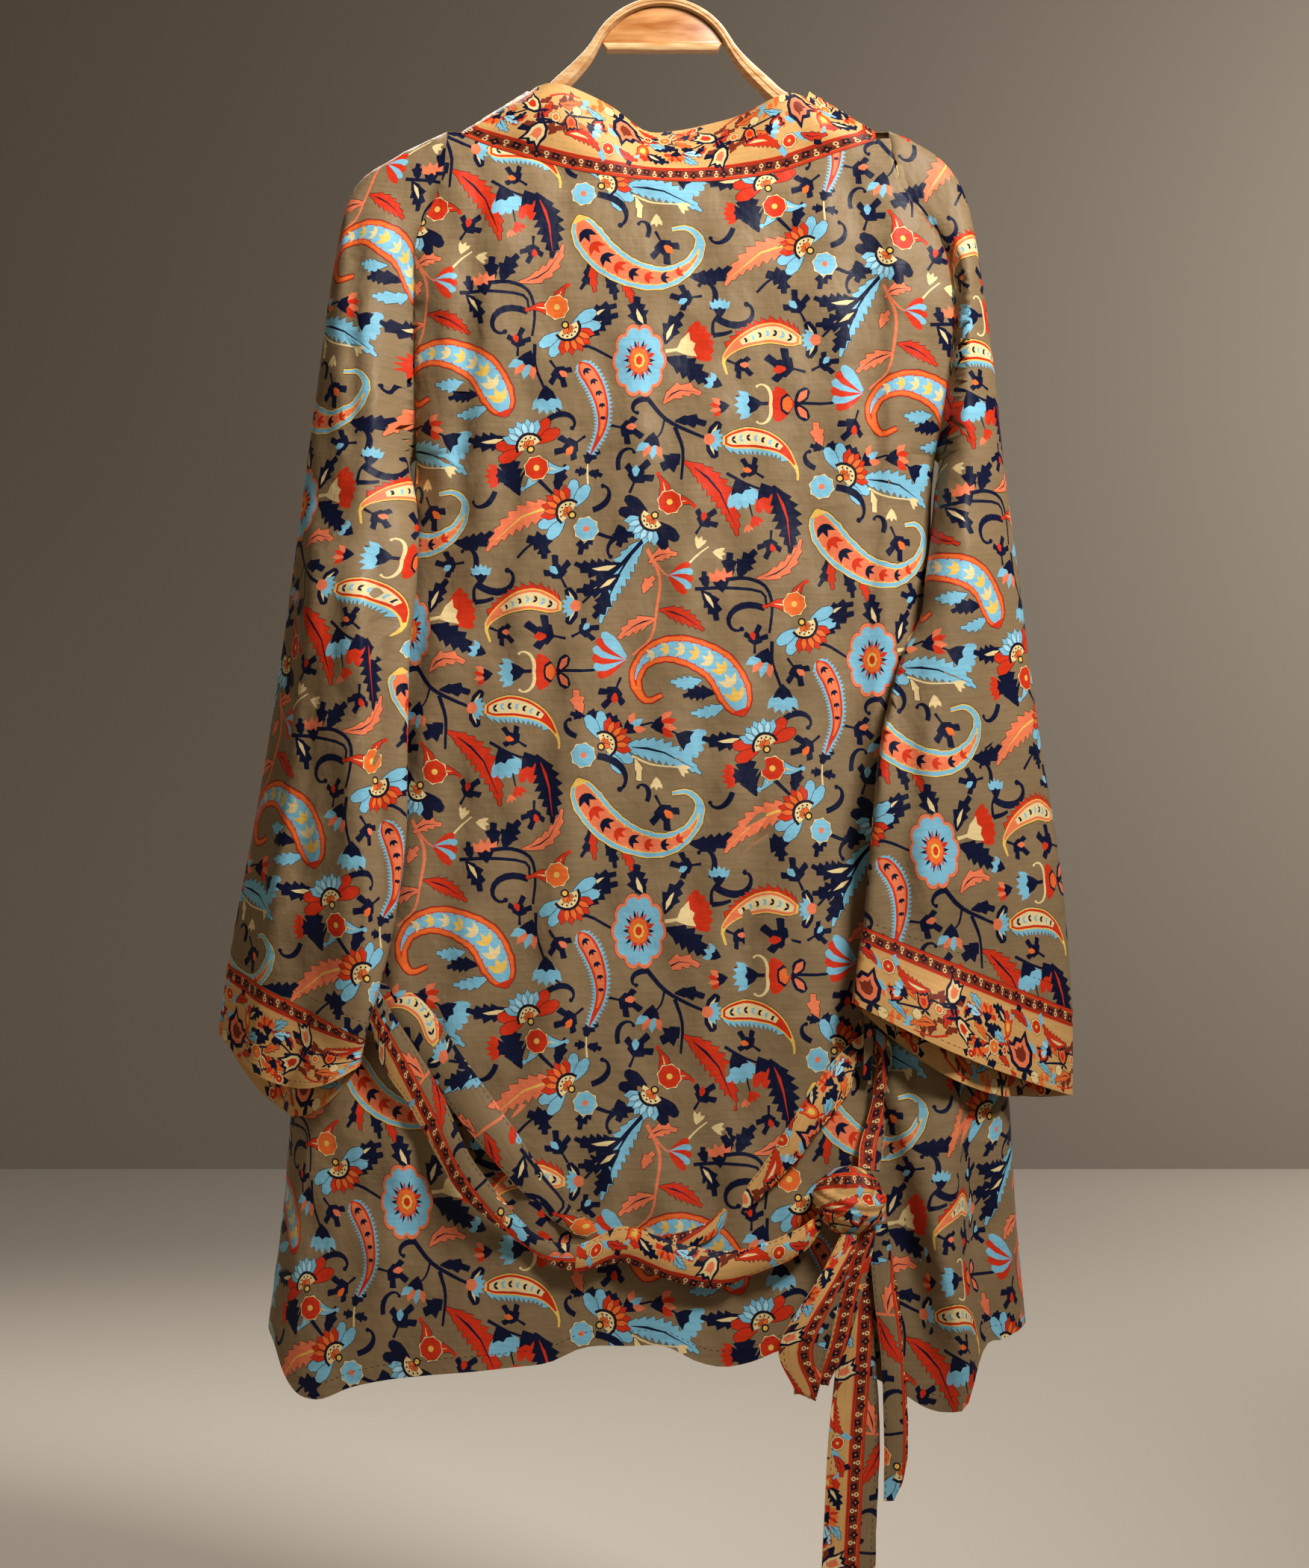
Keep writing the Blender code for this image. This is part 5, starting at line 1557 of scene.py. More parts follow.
BORDER_LEAVES = [  # base, tip, width, bend, teeth, fill, rib
    (-2, 30, 9, 44, 7, 0.5, 4, "red", "navy"),
    (32, 34, 45, 27, 6, 0.4, 4, "orange", "red"),
    (22, 24, 48, 17, 9, -0.7, 7, "red", "cream"),
    (64, 22, 79, 16, 6, 0.5, 4, "red", "navy"),
    (86, 26, 103, 17, 8, 0.4, 5, "navy", "cream"),
    (88, 38, 101, 34, 7, 0.3, 4, "blue", "navy"),
    (100, 38, 110, 30, 6, 0.5, 3, "navy", None),
    (108, 40, 119, 33, 5, 0.4, 3, "orange", "red"),
    (112, 42, 124, 46, 5, -0.4, 3, "orange", "red"),
    (113, 24, 124, 15, 6, 0.4, 4, "blue", "navy"),
    (114, 26, 127, 22, 6, -0.3, 4, "pale", "navy"),
    (16, 45, 34, 51, 7, 0.4, 5, "orange", "navy"),
    (38, 49, 52, 43, 5, 0.4, 4, "blue", "navy"),
    (80, 52, 94, 48, 5, 0.3, 4, "red", None),
    (-16, 24, -9, 32, 4, 0.3, 3, "navy", None),
]
BORDER_FLOWERS = [  # centre, radius, fill
    (55, 20, 4.4, "red"), (55, 53, 3.0, "cream"), (100, 43, 4.2, "orange"), (87, 43, 2.4, "red"),
    (30, 43, 2.6, "cream"), (14, 34, 2.4, "orange"), (121, 53, 2.8, "red"),
]
BORDER_FANS = [  # base, middle of the rim, petals, fill, second fill, calyx
    (108, 27, 108, 16, 5, "orange", "red", "navy"),
    (40, 33, 50, 30, 4, "blue", "pale", "navy"),
    (-22, 44, -26, 54, 4, "red", "orange", "navy"),
]
BORDER_STEMS = [  # points, width, fill
    (((60, 24), (66, 17), (74, 16), (80, 21), (80, 30)), 1.6, "blue"),
    (((0, 28), (10, 31), (20, 30), (26, 38)), 1.3, "navy"),
    (((26, 38), (38, 40), (47, 42)), 1.2, "navy"),
    (((76, 44), (88, 42), (98, 40), (110, 36)), 1.3, "navy"),
    (((110, 36), (118, 30), (128, 34), (134, 40)), 1.2, "navy"),
    (((6, 48), (18, 53), (32, 54)), 1.1, "red"),
]


def tulip(x, y, length, width, degrees, outline, fill, heart, detail):
    """A cup-shaped flower with three points, in an outline of its own colour."""
    cup = np.array([(-0.5, 0), (-0.38, 0.3), (-0.08, 0.5), (0.22, 0.44), (0.5, 0.5), (0.34, 0.2),
                    (0.46, 0), (0.34, -0.2), (0.5, -0.5), (0.22, -0.44), (-0.08, -0.5), (-0.38, -0.3)])
    angle = math.radians(degrees)
    shapes = []
    for size, colour in ((1.0, outline), (0.72, fill), (0.42, heart)):
        points = (cup - (0.06 * (1 - size), 0)) * (length, width) * size
        shapes.append((turned(points, x, y, angle), colour))
    if detail:
        for sign in (1, -1):
            leaf_points = petal(length * 0.45, width * 0.2, 0.5)
            spot = turned(np.array([(-0.42 * length, 0)]), x, y, angle)[0]
            shapes.append((turned(leaf_points, *spot, angle + math.pi - sign * 0.8), outline))
    return shapes


def band_cell(detail):
    """One repeat of the narrow band: dark four-lobed flowers and cream rings."""
    shapes = []
    pitch = BORDER_REPEAT / BAND_FLOWERS
    for k in range(BAND_FLOWERS):
        x, y = (k + 0.5) * pitch, BAND_MIDDLE + (0.9 if k % 2 else -0.9)
        shapes.append((turned(lobed(3.0, 4, 0.42, 16), x, y, 0.6 * (k % 2)), "dark"))
        if detail:
            shapes.append(dot(x, y, 0.7, "orange", 6))
        x, y = (k + 1) * pitch, BAND_MIDDLE + (-1.4 if k % 2 else 1.4)
        shapes.append(dot(x, y, 1.7, "cream"))
        if detail:
            shapes.append(dot(x, y, 0.9, "band", 6))
            shapes.append(dot(x, 2 * BAND_MIDDLE - y, 0.9, "cream", 6))
    return shapes


BORDER_FILL = ("band", "red", "navy", "orange", "band", "navy", "red", "blue")
FILL_COUNT = 44


def border_fill():
    """Small leaves that crowd the spaces between the border's flowers."""
    shapes = []
    for k in range(FILL_COUNT):
        x = (k * 0.7549 % 1) * BORDER_REPEAT
        y = 15.5 + (k * 0.5698 % 1) * 39
        angle = k * 2.4
        size = 8.5 + 3.5 * (k * 0.31 % 1)
        fill = BORDER_FILL[k % len(BORDER_FILL)]
        tip = (x + size * math.cos(angle), y + size * math.sin(angle))
        shapes += leaf(x, y, *tip, 5.6, 0.6 if k % 2 else -0.6, 2, fill, None, False)
    return shapes


def border_cell(detail):
    """Every motif of one repeat of the border, in painting order, or the main ones."""
    shapes = band_cell(detail)
    if detail:
        shapes += border_fill() + motifs((stem, BORDER_STEMS))
    for make, rows in ((leaf, BORDER_LEAVES), (tulip, TULIPS)):
        shapes += motifs((make, [(*row, detail) for row in rows]))
    if detail:
        shapes += motifs((fan_flower, BORDER_FANS), (small_flower, BORDER_FLOWERS))
    return shapes


def silk_print(box, detail):
    """The silk's motifs over a box of the flat pattern."""
    return tiled(CELLS["silk", detail], box, SILK_STEPS)


def border_print(box, detail):
    """The border's motifs over a box; above its seam line the silk goes on."""
    u0, v0, u1, v1 = box
    shapes = silk_print((u0, v0, u1, min(v1, 0)), detail) if v0 < -3 else []
    if v1 <= 0:
        return shapes
    u = np.arange(u0 - 1, u1 + STRIPE_STEP + 1, STRIPE_STEP)
    for top, bottom, fill in STRIPES if detail else STRIPES[:-1]:
        upper = np.column_stack([u, np.full(len(u), top)])
        lower = np.column_stack([u, np.full(len(u), bottom)])
        shapes.append((np.vstack([upper, lower[::-1]]), fill))
    return shapes + tiled(CELLS["border", detail], (u0, max(v0, 2), u1, v1), BORDER_STEPS)


CELLS = {(name, detail): make(detail) for name, make in (("silk", silk_cell), ("border", border_cell))
         for detail in (True, False)}


# Creases of the cloth, finer than the solids' folds. Rows as in the fold tables.
BACK_CREASES = table(
    FOLD_COLUMNS,
    (-120, -200, -130, -300, -142, -470, 3.2, 18, 8),
    (122, -205, 128, -300, 134, -470, 3.0, 8, 18),
    (150, -260, 156, -340, 160, -440, 2.6, 14, 7),
    (-60, -560, -50, -680, -36, -860, 3.4, 22, 9),
    (64, -520, 72, -660, 88, -860, 3.6, 9, 24),
    (-20, -430, -14, -560, -8, -720, 2.4, 18, 10),
    (30, -240, 22, -330, 16, -450, 1.8, 14, 14),
    (160, -520, 176, -640, 196, -800, 3.4, 9, 24),
    (126, -560, 136, -680, 150, -820, 2.6, 9, 16),
    (-104, -500, -100, -640, -98, -800, 3.0, 8, 20),
    (34, -900, 42, -980, 46, -1075, 4.4, 16, 9),
    (84, -900, 98, -980, 110, -1090, 4.4, 9, 18),
    (180, -880, 198, -980, 216, -1110, 4.8, 16, 9),
    (-52, -900, -48, -980, -40, -1090, 4.2, 9, 16),
    (-130, -860, -132, -960, -134, -1090, 4.6, 10, 10),
    (-186, -780, -192, -880, -200, -1000, 4.0, 8, 16),
    (-236, -860, -242, -940, -246, -1060, 3.6, 10, 8),
    (256, -860, 266, -950, 276, -1050, 3.4, 8, 12),
    (-205, -800, -213, -963, -222, -1080, 3.4, 12, 5),
    (-160, -840, -190, -950, -224, -1060, 3.0, 8, 10),
    (-146, -960, -150, -1020, -154, -1100, -3.0, 7, 7),
    (-84, -470, -86, -600, -80, -760, 2.2, 16, 8),
    (96, -400, 104, -520, 112, -640, 2.2, 8, 18),
)
FRONT_CREASES = table(
    FOLD_COLUMNS,
    (106, -420, 112, -600, 120, -860, 3.6, 9, 22),
    (-108, -400, -112, -620, -118, -880, 3.4, 22, 9),
    (150, -560, 164, -720, 180, -1020, 4.0, 12, 24),
    (-150, -520, -160, -700, -178, -1020, 4.0, 24, 10),
    (206, -760, 222, -880, 236, -1070, 4.4, 10, 18),
    (-204, -740, -214, -880, -226, -1070, 4.2, 18, 10),
    (120, -860, 128, -940, 134, -1060, 4.0, 10, 16),
    (-124, -880, -130, -960, -134, -1060, 4.0, 14, 10),
)
SLEEVE_CREASES = {
    "left": table(
        FOLD_COLUMNS,
        (214, -240, 216, -330, 224, -450, 3.6, 7, 16),
        (236, -230, 234, -330, 232, -450, 3.2, 12, 7),
        (204, -320, 214, -420, 226, -540, 3.4, 8, 18),
        (238, -540, 246, -660, 258, -820, 4.0, 8, 18),
        (286, -620, 298, -700, 308, -800, 2.8, 8, 12),
        (224, -600, 226, -700, 232, -830, 3.6, 14, 7),
        (266, -330, 262, -420, 258, -520, 2.6, 6, 12),
        (276, -560, 284, -660, 296, -780, 2.8, 6, 14),
        (254, -470, 268, -600, 290, -800, 4.4, 5, 22),
        (214, -500, 214, -640, 208, -800, 4.0, 18, 5),
        (190, -240, 190, -300, 188, -350, -2.4, 5, 5),
    ),
    "right": table(
        FOLD_COLUMNS,
        (-226, -240, -222, -330, -218, -450, 4.2, 8, 14),
        (-200, -300, -204, -380, -196, -480, 3.6, 7, 12),
        (-196, -470, -190, -600, -182, -740, 4.2, 8, 18),
        (-222, -500, -226, -640, -236, -800, 4.0, 16, 8),
        (-262, -540, -270, -660, -282, -790, 3.4, 10, 7),
        (-244, -300, -250, -400, -256, -500, 2.6, 12, 6),
        (-208, -620, -212, -700, -222, -820, 3.2, 7, 14),
        (-193, -330, -182, -451, -164, -580, -3.0, 5, 8),
        (-172, -310, -164, -440, -157, -580, 3.0, 6, 8),
    ),
}
CREASE_DEPTH = 1.6     # how much deeper the creases are than their tables say
SLEEVE_NEAR = 0.6      # share of a sleeve's creases that only its near wall has
BAND_RIPPLE = 0.5      # how much of the cloth's fine waves the doubled bands and the sash show
CREASES = {
    "back_panel": BACK_CREASES,
    "front_left": FRONT_CREASES,
    "front_right": FRONT_CREASES,
    "sleeve_left": SLEEVE_CREASES["left"],
    "sleeve_right": SLEEVE_CREASES["right"],
}
RIPPLE = [  # fine waves of the cloth: height, waves a metre across and down, start
    (0.80, 19, 3, 0.3),
    (0.60, -12, 15, 1.9),
    (0.45, 33, -8, 4.1),
    (0.35, 9, 37, 2.7),
    (0.22, 57, 21, 5.2),
]


def ripple(x, z):
    """Fine uneven waves at (x, z)."""
    waves = 0
    for height, across, down, start in RIPPLE:
        waves += height * np.sin((across * x + down * z) * 2 * math.pi * MM + start)
    return waves


def edge_weight(rows, columns, closed):
    """0 at a grid's sewn edges and 1 inside."""

    def side(count, reach):
        """0 at both ends of a count of places and 1 beyond the reach of either."""
        near = np.arange(count)
        t = np.clip(np.minimum(near, count - 1 - near) / reach, 0, 1)
        return t * t * (3 - 2 * t)

    across = np.ones(columns) if closed else side(columns, 6)
    return side(rows, 8)[:, None] * across


def creased(name, grid, normals):
    """A grid with its creases and fine waves, unchanged along its seams."""
    x, z = grid[..., 0], grid[..., 2]
    lift = ripple(x, z)
    if name in CREASES:
        folds = CREASE_DEPTH * fold_lift(CREASES[name], x, z)
        if name.startswith("sleeve"):
            folds = folds * (1 - SLEEVE_NEAR + SLEEVE_NEAR * near_wall(grid.shape[1]))
        lift = lift + folds
    else:
        lift = lift * BAND_RIPPLE
    lift = lift * edge_weight(*grid.shape[:2], is_closed(name))
    return grid + (lift * normals[..., 1])[..., None] * (0, 1, 0)


# Flat patterns: the point that lies at the pattern's own zero, and the axis's lean in degrees
BACK_ORIGIN = (17.2, 336.0)
SLEEVE_AXES = {"left": (254, -437, 8.0), "right": (-164, -691, 6.0)}
FAR_WALL_SHIFT = 90.0
FRONT_START = 60.0


def unfolded(u, v):
    """A flat pattern whose rows and columns never run back over themselves."""
    way = 1 if u[0, -1] > u[0, 0] else -1
    for c in range(1, u.shape[1]):
        u[:, c] = way * np.maximum(way * u[:, c], way * u[:, c - 1] + 0.1)
    for r in range(1, len(v)):
        v[r] = np.maximum(v[r], v[r - 1] + 0.15)
    return np.dstack([u, v])


def back_flat(grid):
    """Flat pattern of the back: along each row from the centre, and down each column."""
    across = arc(grid, 1)
    middle = grid.shape[1] // 2
    centre_x = grid[:, middle, 0]
    u = across - across[:, middle:middle + 1] - centre_x[:, None]
    down = arc(grid, 0)[:, middle:middle + 1]
    tilt = -(grid[..., 2] - grid[:, middle:middle + 1, 2])
    v = down + tilt - grid[0, middle, 2]
    return unfolded(u + BACK_ORIGIN[0], v - BACK_ORIGIN[1])


def front_flat(side, grid):
    """Flat pattern of a front: across from its front edge, and down."""
    across = arc(grid, 1)
    sign = -1 if side == "left" else 1
    u = sign * (across[:, -1:] - across) + sign * FRONT_START
    return np.dstack([u, -grid[..., 2] - BACK_ORIGIN[1]])


def sleeve_flat(side, wall, grid):
    """Flat pattern of a sleeve's near or far wall: across and along the sleeve's axis."""
    x0, z0, lean = SLEEVE_AXES[side]
    sign = 1 if side == "left" else -1
    angle = math.radians(lean)
    axis = np.array([sign * math.sin(angle), 0, -math.cos(angle)])
    right = np.array([-math.cos(angle), 0, -sign * math.sin(angle)])
    away = grid - (x0, 0, z0)
    steps = np.diff(grid, axis=1)
    steps = steps - (steps @ axis)[..., None] * axis
    spare = np.linalg.norm(steps, axis=2) - np.abs(steps @ right)
    turned_in = np.concatenate([np.zeros((len(grid), 1)), np.cumsum(spare, axis=1)], axis=1)
    u = away @ right + sign * turned_in
    if wall == "far":
        u = -u + FAR_WALL_SHIFT
    return unfolded(u, away @ axis)


def long_flat(grid, start):
    """Flat pattern of a band: along its middle line, and across from one edge."""
    middle = grid.shape[1] // 2
    u = arc(grid, 0)[:, middle:middle + 1] + np.zeros(grid.shape[:2])
    return np.dstack([u + start, arc(grid, 1)])


def cuff_flat(grid, start):
    """Flat pattern of a cuff: round its middle ring, and down from its seam."""
    middle = len(grid) // 2
    u = arc(grid, 1)[middle][None, :] + np.zeros(grid.shape[:2])
    down = arc(grid, 0)
    return np.dstack([u + start, down / down[-1] * BAND_WIDTH])


def cut_open(grid):
    """A closed grid cut open opposite its first column."""
    half = grid.shape[1] // 2
    return np.concatenate([grid[:, half:], grid[:, :half + 1]], axis=1)


def half_ring(grid, normals, far):
    """The near or far half of a closed grid, from its outer line to its inner line."""
    count = grid.shape[1]
    columns = np.arange(count // 2 + 1)
    if far:
        columns = -columns % count
    return grid[:, columns], normals[:, columns]


NECKBAND_START = 12.0
CUFF_STARTS = {"left": 20.0, "right": 70.0}
FLIPPED = ("front_left", "sleeve_right", "cuff_right")


def is_closed(name):
    """Whether a piece of the robe closes round into a tube."""
    return name.startswith(("sleeve", "cuff"))


def robe_grids():
    """Grids of the robe's pieces, seam by seam."""
    back = back_panel_grid()
    fronts = {side: front_panel_grid(side) for side in SIDES}
    grids = {"back_panel": back, "neckband": neckband_grid(back, fronts)}
    for row, side in enumerate(SIDES):
        sleeve = sleeve_grid(side, armhole_ring(side, back, fronts[side]))
        grids["front_" + side] = fronts[side]
        grids["sleeve_" + side] = sleeve
        grids["cuff_" + side] = cuff_grid(row, sleeve[-1])
    return grids


def robe_normals(grids):
    """Outward normals of the robe's grids, shared along the seams."""
    normals = {name: grid_normals(grid, is_closed(name)) * (1 if name in FLIPPED else -1)
               for name, grid in grids.items()}
    share_seams(normals)
    return normals


def sewn(name, grid):
    """A grid drawn back from its seams."""
    new = grid.copy()
    if is_closed(name):
        new[0] = pull_back(grid[0], grid[1])
        if name.startswith("sleeve"):
            new[-1] = pull_back(grid[-1], grid[-2])
        return new
    new[:, 0] = pull_back(grid[:, 0], grid[:, 1])
    if name != "neckband":
        new[:, -1] = pull_back(grid[:, -1], grid[:, -2])
        new[0] = pull_back(new[0], grid[1])
    return new


def robe_sheets(name, grid, normal):
    """The sheets that a piece of the robe is printed on: (grid, normals, flat, thickness, seams)."""
    kind, _, side = name.partition("_")
    new = sewn(name, grid)
    if kind == "sleeve":
        sheets = []
        for wall in ("near", "far"):
            points, facing = half_ring(new, normal, wall == "far")
            flat = sleeve_flat(side, wall, half_ring(grid, normal, wall == "far")[0])
            sheets.append((points, facing, flat, CLOTH, [flat[-2]]))
        return sheets
    if kind == "cuff":
        new, normal = cut_open(new), cut_open(normal)
        flat = cuff_flat(new, CUFF_STARTS[side])
        return [(new, normal, flat, BAND_CLOTH, [flat[1], flat[-2]])]
    if kind == "neckband":
        flat = long_flat(new, NECKBAND_START)
        return [(new, normal, flat, BAND_CLOTH, [flat[:, 1]])]
    flat = back_flat(grid) if kind == "back" else front_flat(side, grid)
    return [(new, normal, flat, CLOTH, [flat[-2]])]


def build_robe():
    """Back, fronts, sleeves, cuffs and neckband."""
    grids = robe_grids()
    normals = robe_normals(grids)
    grids = {name: creased(name, grid, normals[name]) for name, grid in grids.items()}
    normals = robe_normals(grids)
    pieces = {}
    for name, grid in grids.items():
        sheets = robe_sheets(name, grid, normals[name])
        if name in CREASES:
            pieces[name] = printed_sheet(name, sheets, "silk", silk_print, "ground")
        else:
            pieces[name] = printed_sheet(name, sheets, "border", border_print, "border",
                                         lined=name.startswith("cuff"))
    return pieces


# Where the sash's print lies, in spans of each stretch: the span's ends as shares of the
# stretch, the v of its edge a at places along it, the way v runs and the u it starts at
SASH_PRINT = {
    "sash_swag": [(0, 1, ((0, -22), (0.5, -20), (0.62, 4), (0.75, 16), (1, 18)), 1, 30)],
    "sash_wrap": [(0, 0.5, ((0, -13), (0.5, -12), (1, -10)), 1, 96),
                  (0.5, 1, ((0, 29), (0.5, 32), (1, 28)), -1, 40)],
    "sash_drop": [(0, 1, ((0, 12), (1, 12)), -1, 10)],
    "sash_tail_long": [(0, 1, ((0, 20), (0.3, 25), (1, 27)), -1, 40)],
    "sash_tail_short": [(0, 1, ((0, -15), (1, -13)), 1, 120)],
    "sash_bow_1": [(0, 1, ((0, 26), (0.5, 24), (1, 26)), -1, 64)],
    "sash_bow_2": [(0, 1, ((0, 14), (1, 12)), -1, 20)],
}


def sash_flat(grid, stops, sign, start):
    """Flat pattern of a stretch of sash, on the border print and the silk beside it."""
    middle = grid.shape[1] // 2
    u = arc(grid, 0)[:, middle]
    places, values = np.array(stops, float).T
    v0 = smooth(places, values, u / u[-1])
    across = arc(grid, 1)
    return np.dstack([(u + start)[:, None] + np.zeros_like(across), v0[:, None] + sign * across])


def build_sash():
    """The stretches of the sash, its bow and its tails."""
    pieces = {name: sash_piece(name, ribbon_grid(rows)) for name, rows in SASH.items()}
    for name, rows in BOWS.items():
        near = ribbon_grid(rows)
        far = near[::-1].copy()
        far[:, :, 1] -= BOW_PLY_GAP
        turn = np.linspace(0, math.pi, 7)[1:-1, None]
        middle, half = (near[-1] + far[0]) / 2, BOW_PLY_GAP / 2
        tip = np.repeat(middle[None], len(turn), axis=0)
        tip[:, :, 1] += np.cos(turn) * half
        tip[:, :, 2] -= np.sin(turn) * half
        pieces[name] = sash_piece(name, np.vstack([near, tip, far]))
    return pieces


def sash_piece(name, grid):
    """One stretch of sash from its grid."""
    normals = grid_normals(grid, False)
    if normals[len(grid) // 4, grid.shape[1] // 2, 1] < 0:
        normals = -normals
    x, z = grid[..., 0], grid[..., 2]
    weight = edge_weight(*grid.shape[:2], True)
    grid = grid + normals * (ripple(3 * x, 3 * z) * BAND_RIPPLE * weight)[..., None]
    sheets = []
    for first, last, stops, sign, start in SASH_PRINT[name]:
        rows = slice(round(first * (len(grid) - 1)), round(last * (len(grid) - 1)) + 1)
        flat = sash_flat(grid[rows], stops, sign, start)
        sheets.append((grid[rows], normals[rows], flat, SASH_CLOTH, [flat[:, 1], flat[:, -2]]))
    return printed_sheet(name, sheets, "sash", border_print, "ground")


# The knot: a soft lump, wrapped once around its middle
KNOT_CENTRE = (-133.0, -936.5)
KNOT_HALF = (22.5, 15.0, 23.5)
KNOT_OUT = 21.0
KNOT_STEPS = (108, 80)
WRAP_SLANT = 0.13      # how far the wrap leans, as a share of the knot's height
WRAP_TURN = 2.2        # where round the knot it is highest
WRAP_HALF = 0.14       # half its width
WRAP_EDGE = 0.02       # how soft its edges are
WRAP_PROUD = 0.12      # how far it stands out
GATHERS = 7            # gathers round each end of the knot


def build_knot():
    """A squashed ball of folded sash with a wrap across it."""
    turns, bands = KNOT_STEPS
    centre_x, centre_z = KNOT_CENTRE
    centre_y = on_back(centre_x, centre_z, KNOT_OUT)[1]
    tilt = np.linspace(0.02, math.pi - 0.02, bands)[:, None]
    turn = np.linspace(0, 2 * math.pi, turns + 1)[None, :]
    across = tilt / math.pi - 0.5 - WRAP_SLANT * np.cos(turn - WRAP_TURN)
    wrap = 0.5 + 0.5 * np.tanh((WRAP_HALF - np.abs(across)) / WRAP_EDGE)
    folds = WRAP_PROUD + 0.035 * np.cos(across * 62 + 0.6 * np.sin(turn * 2))
    gathers = 0.09 * np.sin(GATHERS * turn + 4 * tilt) * np.sin(tilt) ** 0.5
    side = np.sin(tilt) ** 0.8 * (1 + wrap * folds + (1 - wrap) * (gathers - 0.05))
    x = centre_x + KNOT_HALF[0] * side * np.cos(turn)
    y = centre_y + KNOT_HALF[1] * side * np.sin(turn)
    z = centre_z + KNOT_HALF[2] * np.cos(tilt) * (1 + 0 * turn)
    grid = np.dstack([x, y, z])
    normals = grid_normals(grid, False)
    if ((grid - (centre_x, centre_y, centre_z)) * normals).sum() < 0:
        normals = -normals
    u = (turn / (2 * math.pi) * BORDER_REPEAT + 0 * tilt) + 8
    v = (1 - np.cos(tilt)) * 26 - 8 + 5 * np.sin(turn)
    sheet = (grid, normals, np.dstack([u, v]), SASH_CLOTH, [])
    return printed_sheet("sash_knot", [sheet], "sash", border_print, "ground")


def build_belt_loops():
    """A narrow strip on each side that hangs from the robe round the sash."""
    pieces = {}
    for k, side in enumerate(SIDES):
        loop = {name: values[k] for name, values in LOOPS.items()}
        height, near, far = loop["top"] - loop["bottom"], loop["near"], loop["far"]
        route = [(0.0, near * 0.55), (0.25, near * 0.92), (0.8, near),
                 (1.0, (near + far) / 2), (0.85, far), (0.12, far)]
        share, out = smooth_line(route, 61).T
        z = loop["top"] - height * share
        x = loop["x"] + np.linspace(-0.5, 0.5, 7) * LOOP_WIDTH
        grid = on_back(x[None, :], z[:, None], (out + CLOTH)[:, None])
        normals = grid_normals(grid, False)
        if normals[15, 3, 1] < 0:
            normals = -normals
        sheet = (grid, normals, long_flat(grid, 40.0), CLOTH, [])
        name = "belt_loop_" + side
        pieces[name] = printed_sheet(name, [sheet], "silk", silk_print, "ground", spacing=1)
    return pieces


# Hanger: the rail's middle line from the arch to one end, with the width of its face
ARCH_CENTRE = -119.0
ARCH_RADIUS = 54.0
ARCH_SPAN = math.radians(60)
ARCH_FACE = 6.5
ARCH_DEPTH = 16.0
PANEL_FOOT = -95.0
BAR_HEIGHT = 6.0
HOOK_WIRE = 4.0
PANEL_LAYERS = [  # y, inset of the edge
    (4.5, 1.0), (4.2, 0.3), (3.6, 0.0), (-3.6, 0.0), (-4.2, 0.3), (-4.5, 1.0),
]
PANEL_MIDDLE = (0.0, -85.0)
BAR_LAYERS = [(7, 0.8), (6.6, 0.2), (6, 0), (-6, 0), (-6.6, 0.2), (-7, 0.8)]
HOOK_STEPS = 110
HOOK_TIP = [0.97, 0.88, 0.7, 0.4]
RAIL = table(
    "x height face depth",
    (51.5, -100, 7.5, 16),
    (60, -111, 10, 15),
    (74, -125, 12, 14),
    (84, -134, 12, 13),
    (95, -140.8, 12, 12),
    (112, -153.2, 11, 10),
    (135, -166, 9, 8),
    (160, -176, 8, 7),
    (185, -185, 8, 7),
    (201, -194, 8, 6),
)
HOOK = table(
    "x height",
    (0, -61.4), (0, -52), (4, -43), (14, -33), (19, -20), (15, -6), (4, 1.6),
    (-8, 0.2), (-16, -7), (-19, -17),
)


def tube(name, rings, finish):
    """A solid through rings of points, capped at both ends, with flat coordinates."""
    rings = np.array(rings)
    count, around = rings.shape[:2]
    points = rings.reshape(-1, 3) * MM
    faces = []
    for r in range(count - 1):
        for c in range(around):
            d = (c + 1) % around
            faces.append((r * around + c, r * around + d, (r + 1) * around + d, (r + 1) * around + c))
    faces.append(tuple(range(around - 1, -1, -1)))
    faces.append(tuple(range((count - 1) * around, count * around)))
    mesh = bpy.data.meshes.new(name)
    mesh.from_pydata(points.tolist(), [], faces)
    mesh.update()
    mesh.shade_smooth()
    mesh.set_sharp_from_angle(angle=math.radians(38))
    steps = np.linalg.norm(np.diff(rings.mean(axis=1), axis=0), axis=1)
    way = np.concatenate([[0], np.cumsum(steps)])
    loops = np.empty(len(mesh.loops), int)
    mesh.loops.foreach_get("vertex_index", loops)
    layer = mesh.uv_layers.new(name="grain")
    values = np.column_stack([way[loops // around] * 0.01, loops % around / around])
    layer.data.foreach_set("uv", values.ravel())
    return add_piece(name, mesh, finish)


def rail_path(steps):
    """Middle line of the whole rail with its face width and depth, end to end."""
    turn = np.linspace(0, ARCH_SPAN, 9)
    arch = np.column_stack([ARCH_RADIUS * np.sin(turn), ARCH_CENTRE + ARCH_RADIUS * np.cos(turn),
                            np.full(9, ARCH_FACE), np.full(9, ARCH_DEPTH)])
    leg = np.column_stack([RAIL[name] for name in ("x", "height", "face", "depth")])
    knots = np.vstack([arch, leg])
    half = smooth_line(knots, steps * (len(knots) - 1) + 1)
    other = half[:0:-1] * (-1, 1, 1, 1)
    return np.vstack([other, half])


